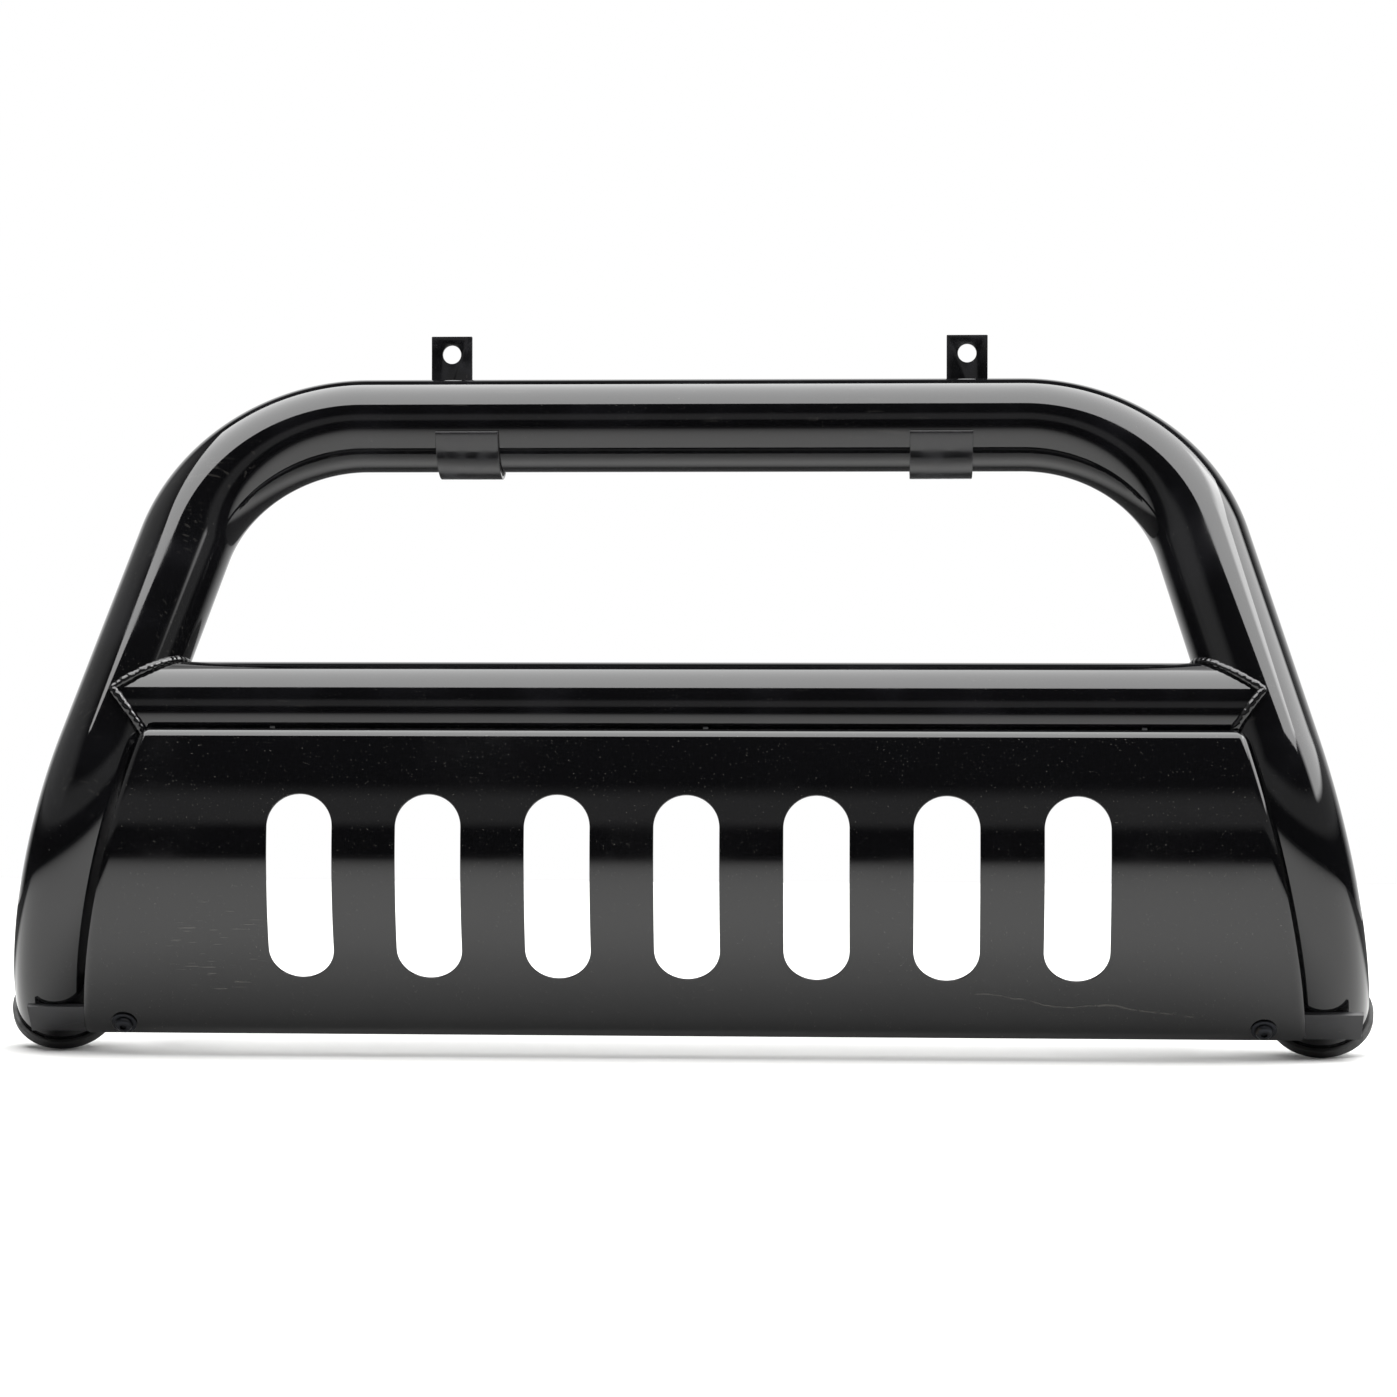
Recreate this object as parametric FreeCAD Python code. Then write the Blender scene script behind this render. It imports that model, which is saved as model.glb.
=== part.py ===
import FreeCAD, Part
import math
import os

# Front grille guard (bull bar) for a pick-up truck: a bent tube hoop with a crossbar, a slotted
# skid plate, two light brackets and the fittings that hold them together.
#
# Two frames are used. In the upright frame the hoop stands in the XZ plane: X is across the
# vehicle, -Y is the front, Z is up, and the origin is the middle of the top tube's axis.
# The leaned frame is the upright frame turned back about X by the hoop's lean.
# At the end everything is moved so that the origin is the bottom centre of the whole guard.

Vector = FreeCAD.Vector

# ---------------------------------------------------------------- driving dimensions, mm and degrees
tube_diameter = 76.2
tube_wall = 2.0
hoop_lean = 26.0
top_straight = 538.0
corner_bend_radius = 147.0
leg_splay = 14.25
leg_straight = 190.0
lower_bend_radius = 180.0
lower_bend_angle = 70.0
tail_straight = 11.0

crossbar_above_bend = 36.0
weld_root_gap = 0.4
weld_bead_radius = 3.4

plate_thickness = 2.5
plate_proud_of_tubes = 0.4
plate_bend_inside_legs = 5.5
plate_below_crossbar = 2.9
plate_stops_short = 8.0
plate_roll_radius = 11.0
plate_roll_angle = 64.0
plate_edge_inboard = 28.8
plate_corner_radius = 6.0
plate_side_shift = 4.8

slot_count = 7
slot_pitch = 100.0
slot_width = 50.8
slot_length = 148.0
slot_top_distance = 47.0

bolt_diameter = 8.0
bolt_hole_clearance = 0.5
hex_across_flats = 13.0
hex_head_height = 5.3
hex_nut_height = 6.8
washer_diameter = 16.0
washer_thickness = 1.6

screw_head_diameter = 14.0
screw_head_height = 4.4
screw_socket_across_flats = 5.0
screw_socket_depth = 2.6
screw_washer_diameter = 20.0
screw_from_edge = 32.6
screw_from_bottom = 12.0
screw_shank_length = 20.0
flange_nut_diameter = 17.9
flange_nut_flange = 1.8

tab_thickness = 4.0
lower_tab_width = 26.0
lower_tab_reach = 15.0
sheet_seat_gap = 0.6

hanger_spacing = 340.0
hanger_width = 30.0
hanger_height = 28.0
stud_distance = 20.0
stud_length = 18.0

cap_lip = 3.5
cap_skirt = 5.0
cap_face_thickness = 6.0
cap_dome = 3.0
cap_fit_gap = 0.15
cap_stem_length = 18.0
cap_stem_wall = 2.5
cap_rib_count = 3
cap_rib_height = 1.2
cap_rib_spacing = 5.0

light_spacing = 385.0
light_side_shift = 10.0
saddle_width = 51.0
saddle_thickness = 3.0
liner_thickness = 3.0
saddle_lip_angle = 10.0
saddle_flange_height = 20.0
light_tab_width = 34.0
light_tab_outboard = 22.5
light_tab_top = 78.0
light_hole_height = 63.0
light_hole_diameter = 15.4
light_foot_drop = 17.0
light_bolt_half_spacing = 14.0
light_bolt_length = 20.0
rivet_nut_diameter = 11.0
rivet_nut_flange_diameter = 13.0
rivet_nut_flange_thickness = 1.0
rivet_nut_length = 16.0
rivet_nut_collar_length = 3.0

ear_thickness = 6.0
ear_outboard_of_leg = 7.8
ear_slot_spacing = 60.0
ear_slot_width = 13.0
ear_slot_length = 26.0
ear_slots_behind_tail = 52.7
ear_slots_above_tail = 112.1
ear_margin = 22.0
ear_corner_radius = 12.0

# ---------------------------------------------------------------- values worked out from them
tube_radius = tube_diameter / 2
bore_radius = tube_radius - tube_wall
bolt_radius = bolt_diameter / 2
bolt_hole_radius = bolt_radius + bolt_hole_clearance
splay = math.radians(leg_splay)
corner_turn = math.radians(90 - leg_splay)
lower_turn = math.radians(lower_bend_angle)

X_AXIS = Vector(1, 0, 0)
Y_AXIS = Vector(0, 1, 0)
Z_AXIS = Vector(0, 0, 1)
ORIGIN = Vector(0, 0, 0)

down_leg = Vector(math.sin(splay), 0, -math.cos(splay))
across_leg = Vector(math.cos(splay), 0, math.sin(splay))
down_tail = down_leg * math.cos(lower_turn) + Y_AXIS * math.sin(lower_turn)

corner_centre = Vector(top_straight / 2, 0, -corner_bend_radius)


def corner_point(turn):
    """Point on the right corner bend's axis, turned this far from the top tube."""
    return corner_centre + Vector(math.sin(turn), 0, math.cos(turn)) * corner_bend_radius


leg_top = corner_point(corner_turn)
leg_bottom = leg_top + down_leg * leg_straight


def lower_bend_point(turn):
    """Point on the right lower bend's axis, turned this far from the leg."""
    along = down_leg * math.sin(turn)
    back = Y_AXIS * (1 - math.cos(turn))
    return leg_bottom + (along + back) * lower_bend_radius


tail_top = lower_bend_point(lower_turn)
tail_end = tail_top + down_tail * tail_straight
crossbar_drop = -leg_bottom.z - crossbar_above_bend
crossbar_end = leg_top + down_leg * ((leg_top.z + crossbar_drop) / math.cos(splay))

plate_tangent_height = -crossbar_drop - tube_radius - plate_below_crossbar
plate_stand_off = tube_radius + plate_proud_of_tubes
plate_bend_radius = lower_bend_radius + plate_stand_off - plate_bend_inside_legs
plate_length = plate_bend_radius * lower_turn - plate_stops_short
ear_from_centre = leg_bottom.x + ear_outboard_of_leg


# ---------------------------------------------------------------- helpers
def mirrored(shape):
    """The same shape on the other side of the middle plane."""
    return shape.mirror(ORIGIN, X_AXIS)


def leaned(shape):
    """Turn a shape from the upright frame into the leaned frame."""
    turned = shape.copy()
    turned.rotate(ORIGIN, X_AXIS, -hoop_lean)
    return turned


def placed(shape, position, x_direction, z_direction):
    """Move a shape made at the origin so that its X and Z axes point along the two directions."""
    y_direction = z_direction.cross(x_direction)
    rotation = FreeCAD.Rotation(x_direction, y_direction, z_direction, "ZXY")
    moved = shape.copy()
    moved.Placement = FreeCAD.Placement(position, rotation)
    return moved


def cylinder(radius, low, high, centre=ORIGIN):
    """Cylinder along Z between two heights."""
    return Part.makeCylinder(radius, high - low, Vector(centre.x, centre.y, low))


def hex_prism(across_flats, low, high):
    """Hexagonal prism along Z between two heights."""
    corner = across_flats / math.sqrt(3)
    points = [Vector(corner * math.cos(math.radians(60 * i)), corner * math.sin(math.radians(60 * i)), low)
              for i in range(6)]
    face = Part.Face(Part.makePolygon(points + points[:1]))
    return face.extrude(Vector(0, 0, high - low))


def lathe(points):
    """Solid of revolution about Z from (radius, height) corners in order."""
    corners = [Vector(radius, 0, height) for radius, height in points]
    face = Part.Face(Part.makePolygon(corners + corners[:1]))
    return face.revolve(ORIGIN, Z_AXIS, 360)


def arc_edge(point_at, turn):
    """Arc through a curve function's start, middle and end."""
    return Part.Arc(point_at(0), point_at(turn / 2), point_at(turn)).toShape()


def hoop_path():
    """The hoop's centreline as one wire from the left tail to the right tail."""
    right = [arc_edge(corner_point, corner_turn),
             Part.makeLine(leg_top, leg_bottom),
             arc_edge(lower_bend_point, lower_turn),
             Part.makeLine(tail_top, tail_end)]
    top = Part.makeLine(mirrored_point(corner_point(0)), corner_point(0))
    left = [mirrored(edge) for edge in right]
    return Part.Wire(Part.sortEdges(left + [top] + right)[0])


def mirrored_point(point):
    """The same point on the other side of the middle plane."""
    return Vector(-point.x, point.y, point.z)


def rod_along_hoop(radius):
    """Solid round rod that follows the whole hoop."""
    circle = Part.Wire(Part.makeCircle(radius, tail_end, down_tail))
    return hoop_path().makePipe(Part.Face(circle))


def sheet_normal(distance):
    """Outward direction of the skid plate, this far down its curve from the top tangent line."""
    angle = distance / plate_bend_radius
    return Vector(0, -math.cos(angle), -math.sin(angle))


def sheet_point(distance, depth=0.0):
    """Point on the skid plate's middle section, at this depth under its outer face."""
    centre = Vector(0, plate_bend_radius - plate_stand_off, plate_tangent_height)
    return centre + sheet_normal(distance) * (plate_bend_radius - depth)


def on_sheet(shape, across, distance, depth=0.0):
    """Place a shape on the skid plate: its Z points out of the sheet and its X across it."""
    position = sheet_point(distance, depth) + X_AXIS * (across + plate_side_shift)
    return placed(shape, position, X_AXIS, sheet_normal(distance))


# ---------------------------------------------------------------- tubes and welds
def make_main_hoop(solid_hoop):
    """Bent tube with holes in the top tube's rear wall for the light brackets' rivet nuts."""
    hoop = leaned(solid_hoop.cut(rod_along_hoop(bore_radius)))
    for across in light_bolt_places():
        hole = Part.makeCylinder(rivet_nut_diameter / 2, tube_radius, Vector(across, 0, 0), Y_AXIS)
        hoop = hoop.cut(hole)
    return hoop


def make_crossbar():
    """Tube between the legs with both ends coped to fit them."""
    start = mirrored_point(crossbar_end)
    length = crossbar_end.x * 2
    bar = Part.makeCylinder(tube_radius, length, start, X_AXIS)
    bore = Part.makeCylinder(bore_radius, length, start, X_AXIS)
    return bar.cut(bore).cut(rod_along_hoop(tube_radius + weld_root_gap))


def seam_bead(direction):
    """Half of the seam's bead: it follows the ellipse where two equal tubes meet."""
    slant = math.sqrt(1 - direction.dot(X_AXIS) ** 2)
    far_point = crossbar_end + direction * (tube_radius / slant)
    front_point = crossbar_end - Y_AXIS * tube_radius
    ellipse = Part.Ellipse(far_point, front_point, crossbar_end)
    path = Part.Wire(ellipse.toShape(-math.pi / 2, math.pi / 2))
    start = path.Edges[0].valueAt(path.Edges[0].FirstParameter)
    tangent = path.Edges[0].tangentAt(path.Edges[0].FirstParameter)
    profile = Part.Wire(Part.makeCircle(weld_bead_radius, start, tangent))
    return path.makePipeShell([profile], True, True)


def make_crossbar_weld(solid_hoop):
    """Weld bead round the right end of the crossbar, outside both tubes."""
    upper = (X_AXIS + down_leg) * -1
    lower = (X_AXIS - down_leg) * -1
    bead = seam_bead(upper.normalize()).fuse(seam_bead(lower.normalize()))
    for side in (-1, 1):
        apex = crossbar_end + Y_AXIS * (side * tube_radius)
        bead = bead.fuse(Part.makeSphere(weld_bead_radius, apex))
    bar = Part.makeCylinder(tube_radius, crossbar_end.x, Vector(0, 0, crossbar_end.z), X_AXIS)
    return bead.cut(bar).cut(solid_hoop)


def make_end_cap():
    """Plastic cap over the right tail's end, with a ribbed stem inside the tube."""
    lip_radius = tube_radius + cap_lip
    skirt_bore = tube_radius + cap_fit_gap
    stem_radius = bore_radius - cap_fit_gap - cap_rib_height
    dome_start = cap_face_thickness - cap_dome
    shell = lathe([(0, 0), (skirt_bore, 0), (skirt_bore, -cap_skirt), (lip_radius - 1, -cap_skirt),
                   (lip_radius, 1 - cap_skirt), (lip_radius, dome_start),
                   (lip_radius - cap_dome, cap_face_thickness), (0, cap_face_thickness + 1)])
    stem = cylinder(stem_radius, -cap_stem_length, 0).cut(
        cylinder(stem_radius - cap_stem_wall, -cap_stem_length, 0))
    cap = shell.fuse(stem)
    for rib in range(cap_rib_count):
        height = -cap_stem_length + 2 + rib * cap_rib_spacing
        cap = cap.fuse(lathe([(stem_radius - 1, height - 1), (stem_radius, height - 1),
                              (stem_radius + cap_rib_height, height), (stem_radius, height + 1),
                              (stem_radius - 1, height + 1)]))
    return placed(cap.removeSplitter(), tail_end, across_leg, down_tail)


# ---------------------------------------------------------------- skid plate
def plate_section():
    """Cross-section of the rolled sheet in the middle plane."""
    roll = math.radians(plate_roll_angle)
    roll_centre = Vector(0, plate_roll_radius - plate_stand_off, plate_tangent_height)

    def roll_point(angle, radius):
        return roll_centre + Vector(0, -math.cos(angle), math.sin(angle)) * radius

    inner_roll_radius = plate_roll_radius - plate_thickness
    outer_arc = Part.Arc(sheet_point(0), sheet_point(plate_length / 2), sheet_point(plate_length))
    inner_arc = Part.Arc(sheet_point(0, plate_thickness), sheet_point(plate_length / 2, plate_thickness),
                         sheet_point(plate_length, plate_thickness))
    outer_roll = Part.Arc(roll_point(0, plate_roll_radius), roll_point(roll / 2, plate_roll_radius),
                          roll_point(roll, plate_roll_radius))
    inner_roll = Part.Arc(roll_point(0, inner_roll_radius), roll_point(roll / 2, inner_roll_radius),
                          roll_point(roll, inner_roll_radius))
    top_edge = Part.makeLine(roll_point(roll, plate_roll_radius), roll_point(roll, inner_roll_radius))
    bottom_edge = Part.makeLine(sheet_point(plate_length), sheet_point(plate_length, plate_thickness))
    edges = [outer_arc.toShape(), bottom_edge, inner_arc.toShape(), inner_roll.toShape(), top_edge,
             outer_roll.toShape()]
    return Part.Face(Part.Wire(Part.sortEdges(edges)[0]))


def leg_side_trimmer():
    """Block that follows the right leg and covers all that lies outboard of the plate's edge."""
    above_crossbar = leg_bottom - down_leg * leg_straight
    below_tail = tail_end + down_tail * leg_straight
    path = Part.Wire([Part.makeLine(above_crossbar, leg_bottom),
                      arc_edge(lower_bend_point, lower_turn),
                      Part.makeLine(tail_top, below_tail)])
    inner = above_crossbar - across_leg * plate_edge_inboard
    outer = above_crossbar + across_leg * crossbar_end.x
    depth = Y_AXIS * (2 * tube_diameter)
    corners = [inner - depth, outer - depth, outer + depth, inner + depth]
    profile = Part.Face(Part.makePolygon(corners + corners[:1]))
    return path.makePipe(profile)


def slot_cutter(across):
    """Cutter for one slot: straight sides that follow the sheet, and a round at each end."""
    half_width = slot_width / 2
    first = slot_top_distance + half_width
    last = slot_top_distance + slot_length - half_width
    depth = 2 * plate_thickness
    low = sheet_point(first, -depth)
    high = sheet_point(first, depth)
    side = X_AXIS * half_width
    middle = X_AXIS * across
    corners = [low - side, low + side, high + side, high - side]
    profile = Part.Face(Part.makePolygon([corner + middle for corner in corners + corners[:1]]))
    bend_centre = sheet_point(0, plate_bend_radius)
    sweep = math.degrees((last - first) / plate_bend_radius)
    cutter = profile.revolve(bend_centre, X_AXIS, sweep)
    for distance in (first, last):
        end = placed(cylinder(half_width, -depth, depth), sheet_point(distance) + middle,
                     X_AXIS, sheet_normal(distance))
        cutter = cutter.fuse(end)
    return cutter


def make_skid_plate():
    """Rolled sheet with a rolled-over top edge, slots, trimmed sides and screw holes."""
    half_length = crossbar_end.x + tube_diameter
    section = plate_section()
    section.translate(X_AXIS * -half_length)
    sheet = section.extrude(X_AXIS * (2 * half_length))
    trimmer = leg_side_trimmer()
    sheet = sheet.cut(trimmer).cut(mirrored(trimmer))
    sheet = sheet.makeFillet(plate_corner_radius, plate_corner_edges(sheet))
    for index in range(slot_count):
        across = (index - (slot_count - 1) / 2) * slot_pitch
        sheet = sheet.cut(slot_cutter(across))
    sheet.translate(X_AXIS * plate_side_shift)
    for side in (-1, 1):
        hole = cylinder(bolt_hole_radius, -2 * plate_thickness, plate_thickness)
        sheet = sheet.cut(on_sheet(hole, side * screw_from_centre(), screw_distance()))
    return sheet


def plate_corner_edges(sheet):
    """The two short edges through the sheet's thickness at its bottom corners."""
    bottom = sheet_point(plate_length, plate_thickness / 2)
    found = []
    for edge in sheet.Edges:
        middle = edge.CenterOfMass
        near_bottom = abs(middle.y - bottom.y) + abs(middle.z - bottom.z) < plate_thickness
        if near_bottom and edge.Length < 2 * plate_thickness:
            found.append(edge)
    return found


def screw_distance():
    """Distance down the sheet to the lower screws."""
    return plate_length - screw_from_bottom


def screw_from_centre():
    """Distance of the lower screws from the plate's middle, a set way in from its slanting edge."""
    leg_plane = leg_bottom.x + (leg_bottom.z - sheet_point(screw_distance()).z) * math.tan(splay)
    return leg_plane - plate_edge_inboard / math.cos(splay) - screw_from_edge


# ---------------------------------------------------------------- how the plate is held
def lower_tab_depth():
    """Depth of the lower tabs' front face under the sheet's outer face."""
    return plate_thickness + sheet_seat_gap


def make_lower_tab(side, solid_hoop):
    """Flat tab welded to the leg, behind the sheet's lower corner."""
    front = -lower_tab_depth()
    reach_out = tube_diameter
    box = Part.makeBox(lower_tab_reach + reach_out, lower_tab_width, tab_thickness,
                       Vector(-lower_tab_reach, -lower_tab_width / 2, front - tab_thickness))
    box = box.cut(cylinder(bolt_hole_radius, front - tab_thickness, front))
    if side < 0:
        box = mirrored(box)
    tab = on_sheet(box, side * screw_from_centre(), screw_distance())
    pieces = tab.cut(solid_hoop).Solids
    return min(pieces, key=lambda piece: abs(piece.CenterOfMass.x))


def make_lower_screws():
    """Button head screws with a hexagon socket."""
    head_base = washer_thickness
    dome = Part.makeSphere(screw_head_diameter / 2)
    stretch = FreeCAD.Matrix()
    stretch.scale(1, 1, screw_head_height / (screw_head_diameter / 2))
    dome = dome.transformGeometry(stretch)
    dome.translate(Z_AXIS * head_base)
    head = dome.common(cylinder(screw_head_diameter, head_base, head_base + screw_head_height))
    top = head_base + screw_head_height
    head = head.cut(hex_prism(screw_socket_across_flats, top - screw_socket_depth, top + 1))
    screw = head.fuse(cylinder(bolt_radius, head_base - screw_shank_length, head_base))
    return pair_on_screws(screw)


def make_lower_washers():
    """Flat washers under the button heads."""
    washer = cylinder(screw_washer_diameter / 2, 0, washer_thickness)
    return pair_on_screws(washer.cut(cylinder(bolt_hole_radius, 0, washer_thickness)))


def make_lower_nuts():
    """Flange nuts behind the lower tabs."""
    seat = -lower_tab_depth() - tab_thickness
    flange = cylinder(flange_nut_diameter / 2, seat - flange_nut_flange, seat)
    nut = flange.fuse(hex_prism(hex_across_flats, seat - hex_nut_height, seat - flange_nut_flange))
    return pair_on_screws(nut.cut(cylinder(bolt_radius, seat - hex_nut_height, seat)))


def pair_on_screws(shape):
    """The same fastener at both lower screws."""
    return Part.makeCompound([on_sheet(shape, side * screw_from_centre(), screw_distance())
                              for side in (-1, 1)])


def hanger_front_depth():
    """Depth of the hangers' front face under the sheet's outer face."""
    return plate_thickness + sheet_seat_gap


def make_hanger(across):
    """Angle bracket: one flange behind the sheet, the other welded under the crossbar."""
    front = -hanger_front_depth()
    half_height = hanger_height / 2
    face_flange = Part.makeBox(hanger_width, hanger_height, tab_thickness,
                               Vector(-hanger_width / 2, -half_height, front - tab_thickness))
    face_flange = face_flange.cut(cylinder(bolt_hole_radius, front - tab_thickness, front))
    face_flange = on_sheet(face_flange, across, stud_distance)
    lower_front = sheet_point(stud_distance + half_height, hanger_front_depth() + tab_thickness / 2)
    upper_front = sheet_point(stud_distance - half_height, hanger_front_depth() + tab_thickness / 2)
    under_bar = Vector(0, -tube_radius / 2, -crossbar_drop)
    behind_bar = Vector(0, tube_radius / 3, -crossbar_drop)
    corners = [lower_front, upper_front, under_bar, behind_bar]
    web = Part.Face(Part.makePolygon(corners + corners[:1])).extrude(X_AXIS * tab_thickness)
    web.translate(X_AXIS * (across + plate_side_shift + hanger_width / 2 - tab_thickness))
    bar = Part.makeCylinder(tube_radius, 2 * crossbar_end.x, mirrored_point(crossbar_end), X_AXIS)
    return face_flange.fuse(web.cut(bar)).removeSplitter()


def hanger_places():
    """Distances of the three hangers from the plate's middle."""
    return (-hanger_spacing, 0.0, hanger_spacing)


def at_hangers(shape):
    """The same fastener at each hanger."""
    return Part.makeCompound([on_sheet(shape, across, stud_distance) for across in hanger_places()])


def make_plate_studs():
    """Threaded studs welded to the sheet's back."""
    sagitta = bolt_radius ** 2 / (2 * (plate_bend_radius - plate_thickness))
    foot = -plate_thickness - sagitta
    return at_hangers(cylinder(bolt_radius, foot - stud_length, foot))


def hanger_back():
    """Height of the hangers' back face, measured out of the sheet."""
    return -hanger_front_depth() - tab_thickness


def make_stud_washers():
    """Flat washers behind the hangers."""
    ring = cylinder(washer_diameter / 2, hanger_back() - washer_thickness, hanger_back())
    return at_hangers(ring.cut(cylinder(bolt_hole_radius, hanger_back() - washer_thickness, hanger_back())))


def make_stud_nuts():
    """Hexagon nuts on the studs."""
    seat = hanger_back() - washer_thickness
    nut = hex_prism(hex_across_flats, seat - hex_nut_height, seat)
    return at_hangers(nut.cut(cylinder(bolt_radius, seat - hex_nut_height, seat)))


# ---------------------------------------------------------------- light brackets
saddle_inner_radius = tube_radius + liner_thickness
saddle_outer_radius = saddle_inner_radius + saddle_thickness
light_tab_back = saddle_outer_radius + tab_thickness


def light_centre(side):
    """Middle of the saddle on one side."""
    return side * light_spacing / 2 + light_side_shift


def light_bolt_places():
    """Distances across the guard of the four bracket bolts."""
    return [light_centre(side) + end * light_bolt_half_spacing for side in (-1, 1) for end in (-1, 1)]


def band(inner_radius, outer_radius, side):
    """Strip round the top tube from just under its front line, below it, to its rear line."""
    front_angle = math.radians(180 + saddle_lip_angle)
    middle_angle = math.radians(270)
    rear_angle = math.radians(360)

    def around(radius, angle):
        return Vector(0, radius * math.cos(angle), radius * math.sin(angle))

    outer = Part.Arc(around(outer_radius, front_angle), around(outer_radius, middle_angle),
                     around(outer_radius, rear_angle))
    inner = Part.Arc(around(inner_radius, front_angle), around(inner_radius, middle_angle),
                     around(inner_radius, rear_angle))
    ends = [Part.makeLine(around(inner_radius, angle), around(outer_radius, angle))
            for angle in (front_angle, rear_angle)]
    edges = Part.sortEdges([outer.toShape(), inner.toShape()] + ends)[0]
    section = Part.Face(Part.Wire(edges))
    section.translate(X_AXIS * (light_centre(side) - saddle_width / 2))
    return section.extrude(X_AXIS * saddle_width)


def cut_light_bolt_holes(shape, radius):
    """Holes along Y for the bracket bolts."""
    for across in light_bolt_places():
        shape = shape.cut(Part.makeCylinder(radius, 2 * tube_radius, Vector(across, 0, 0), Y_AXIS))
    return shape


def make_light_liner(side):
    """Rubber strip between the saddle and the tube."""
    flange_hole = rivet_nut_flange_diameter / 2 + bolt_hole_clearance
    below_rear = band(tube_radius, saddle_inner_radius, side)
    return cut_light_bolt_holes(below_rear.fuse(rear_pad(side)).removeSplitter(), flange_hole)


def rear_pad(side):
    """The liner's stretch above the rear line, behind the saddle's flange."""
    pad = Part.makeBox(saddle_width, saddle_inner_radius, saddle_flange_height / 2,
                       Vector(light_centre(side) - saddle_width / 2, 0, 0))
    tube = Part.makeCylinder(tube_radius, 2 * top_straight, Vector(-top_straight, 0, 0), X_AXIS)
    return pad.cut(tube)


def make_light_saddle(side):
    """Steel strap round the liner with a flange that stands up behind the tube."""
    flange = Part.makeBox(saddle_width, saddle_thickness, saddle_flange_height,
                          Vector(light_centre(side) - saddle_width / 2, saddle_inner_radius, 0))
    strap = band(saddle_inner_radius, saddle_outer_radius, side).fuse(flange).removeSplitter()
    return cut_light_bolt_holes(strap, bolt_hole_radius)


def make_light_tab(side):
    """Upright plate behind the tube: a foot bolted to the saddle and an ear with the light's hole."""
    ear_middle = light_centre(side) + side * light_tab_outboard
    ear = Part.makeBox(light_tab_width, tab_thickness, light_foot_drop + light_tab_top,
                       Vector(ear_middle - light_tab_width / 2, saddle_outer_radius, -light_foot_drop))
    foot = Part.makeBox(saddle_width, tab_thickness, light_foot_drop + saddle_flange_height,
                        Vector(light_centre(side) - saddle_width / 2, saddle_outer_radius, -light_foot_drop))
    tab = ear.fuse(foot).removeSplitter()
    hole = Part.makeCylinder(light_hole_diameter / 2, 2 * saddle_outer_radius,
                             Vector(ear_middle, 0, light_hole_height), Y_AXIS)
    return cut_light_bolt_holes(tab.cut(hole), bolt_hole_radius)


def at_light_bolts(shape, depth):
    """The same fastener at each bracket bolt, its Z pointing back, at this depth behind the axis."""
    return Part.makeCompound([placed(shape, Vector(across, depth, 0), X_AXIS, Y_AXIS)
                              for across in light_bolt_places()])


def make_light_washers():
    """Flat washers behind the light tabs."""
    ring = cylinder(washer_diameter / 2, 0, washer_thickness)
    return at_light_bolts(ring.cut(cylinder(bolt_hole_radius, 0, washer_thickness)), light_tab_back)


def make_light_bolts():
    """Hexagon bolts from behind, through tab, saddle and liner into the hoop's rivet nuts."""
    head = hex_prism(hex_across_flats, 0, hex_head_height)
    bolt = head.fuse(cylinder(bolt_radius, -light_bolt_length, 0))
    return at_light_bolts(bolt, light_tab_back + washer_thickness)


def make_rivet_nuts():
    """Threaded inserts in the hoop's rear wall: flange outside, upset collar inside."""
    collar_top = -(tube_radius - math.sqrt(bore_radius ** 2 - (rivet_nut_flange_diameter / 2) ** 2))
    body = cylinder(rivet_nut_diameter / 2, -rivet_nut_length, 0)
    flange = cylinder(rivet_nut_flange_diameter / 2, 0, rivet_nut_flange_thickness)
    collar = cylinder(rivet_nut_flange_diameter / 2, collar_top - rivet_nut_collar_length, collar_top)
    nut = body.fuse(flange).fuse(collar)
    nut = nut.cut(cylinder(bolt_radius, -rivet_nut_length, rivet_nut_flange_thickness))
    return at_light_bolts(nut, tube_radius)


# ---------------------------------------------------------------- vehicle mounting
def make_mount_ear(solid_hoop):
    """Plate welded behind the right leg, with two upright slots for the vehicle's bracket."""
    tail = leaned(Part.Vertex(tail_end)).Point
    middle_y = tail.y + ear_slots_behind_tail
    middle_z = tail.z + ear_slots_above_tail
    half_height = ear_slot_spacing / 2 + ear_margin
    rear = middle_y + ear_margin
    front = leaned(Part.Vertex(leg_bottom)).Point.y
    corners = [Vector(0, rear, middle_z - half_height), Vector(0, rear, middle_z + half_height),
               Vector(0, front, middle_z + half_height + ear_margin),
               Vector(0, front, middle_z - half_height - ear_margin / 2)]
    face = Part.Face(Part.makePolygon(corners + corners[:1]))
    face.translate(X_AXIS * (ear_from_centre - ear_thickness / 2))
    ear = face.extrude(X_AXIS * ear_thickness)
    rear_edges = [edge for edge in ear.Edges
                  if abs(edge.BoundBox.YMin - rear) < 1 and abs(edge.BoundBox.XLength - ear_thickness) < 1
                  and edge.BoundBox.ZLength < 1]
    ear = ear.makeFillet(ear_corner_radius, rear_edges)
    for side in (-1, 1):
        ear = ear.cut(ear_slot(middle_y, middle_z + side * ear_slot_spacing / 2))
    pieces = ear.cut(leaned(solid_hoop)).Solids
    return max(pieces, key=lambda piece: piece.CenterOfMass.y)


def ear_slot(middle_y, middle_z):
    """Cutter for one upright slot through the ear."""
    radius = ear_slot_width / 2
    half_straight = ear_slot_length / 2 - radius
    start_x = ear_from_centre - ear_thickness
    cutter = Part.makeBox(2 * ear_thickness, ear_slot_width, 2 * half_straight,
                          Vector(start_x, middle_y - radius, middle_z - half_straight))
    for side in (-1, 1):
        centre = Vector(start_x, middle_y, middle_z + side * half_straight)
        cutter = cutter.fuse(Part.makeCylinder(radius, 2 * ear_thickness, centre, X_AXIS))
    return cutter


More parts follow.
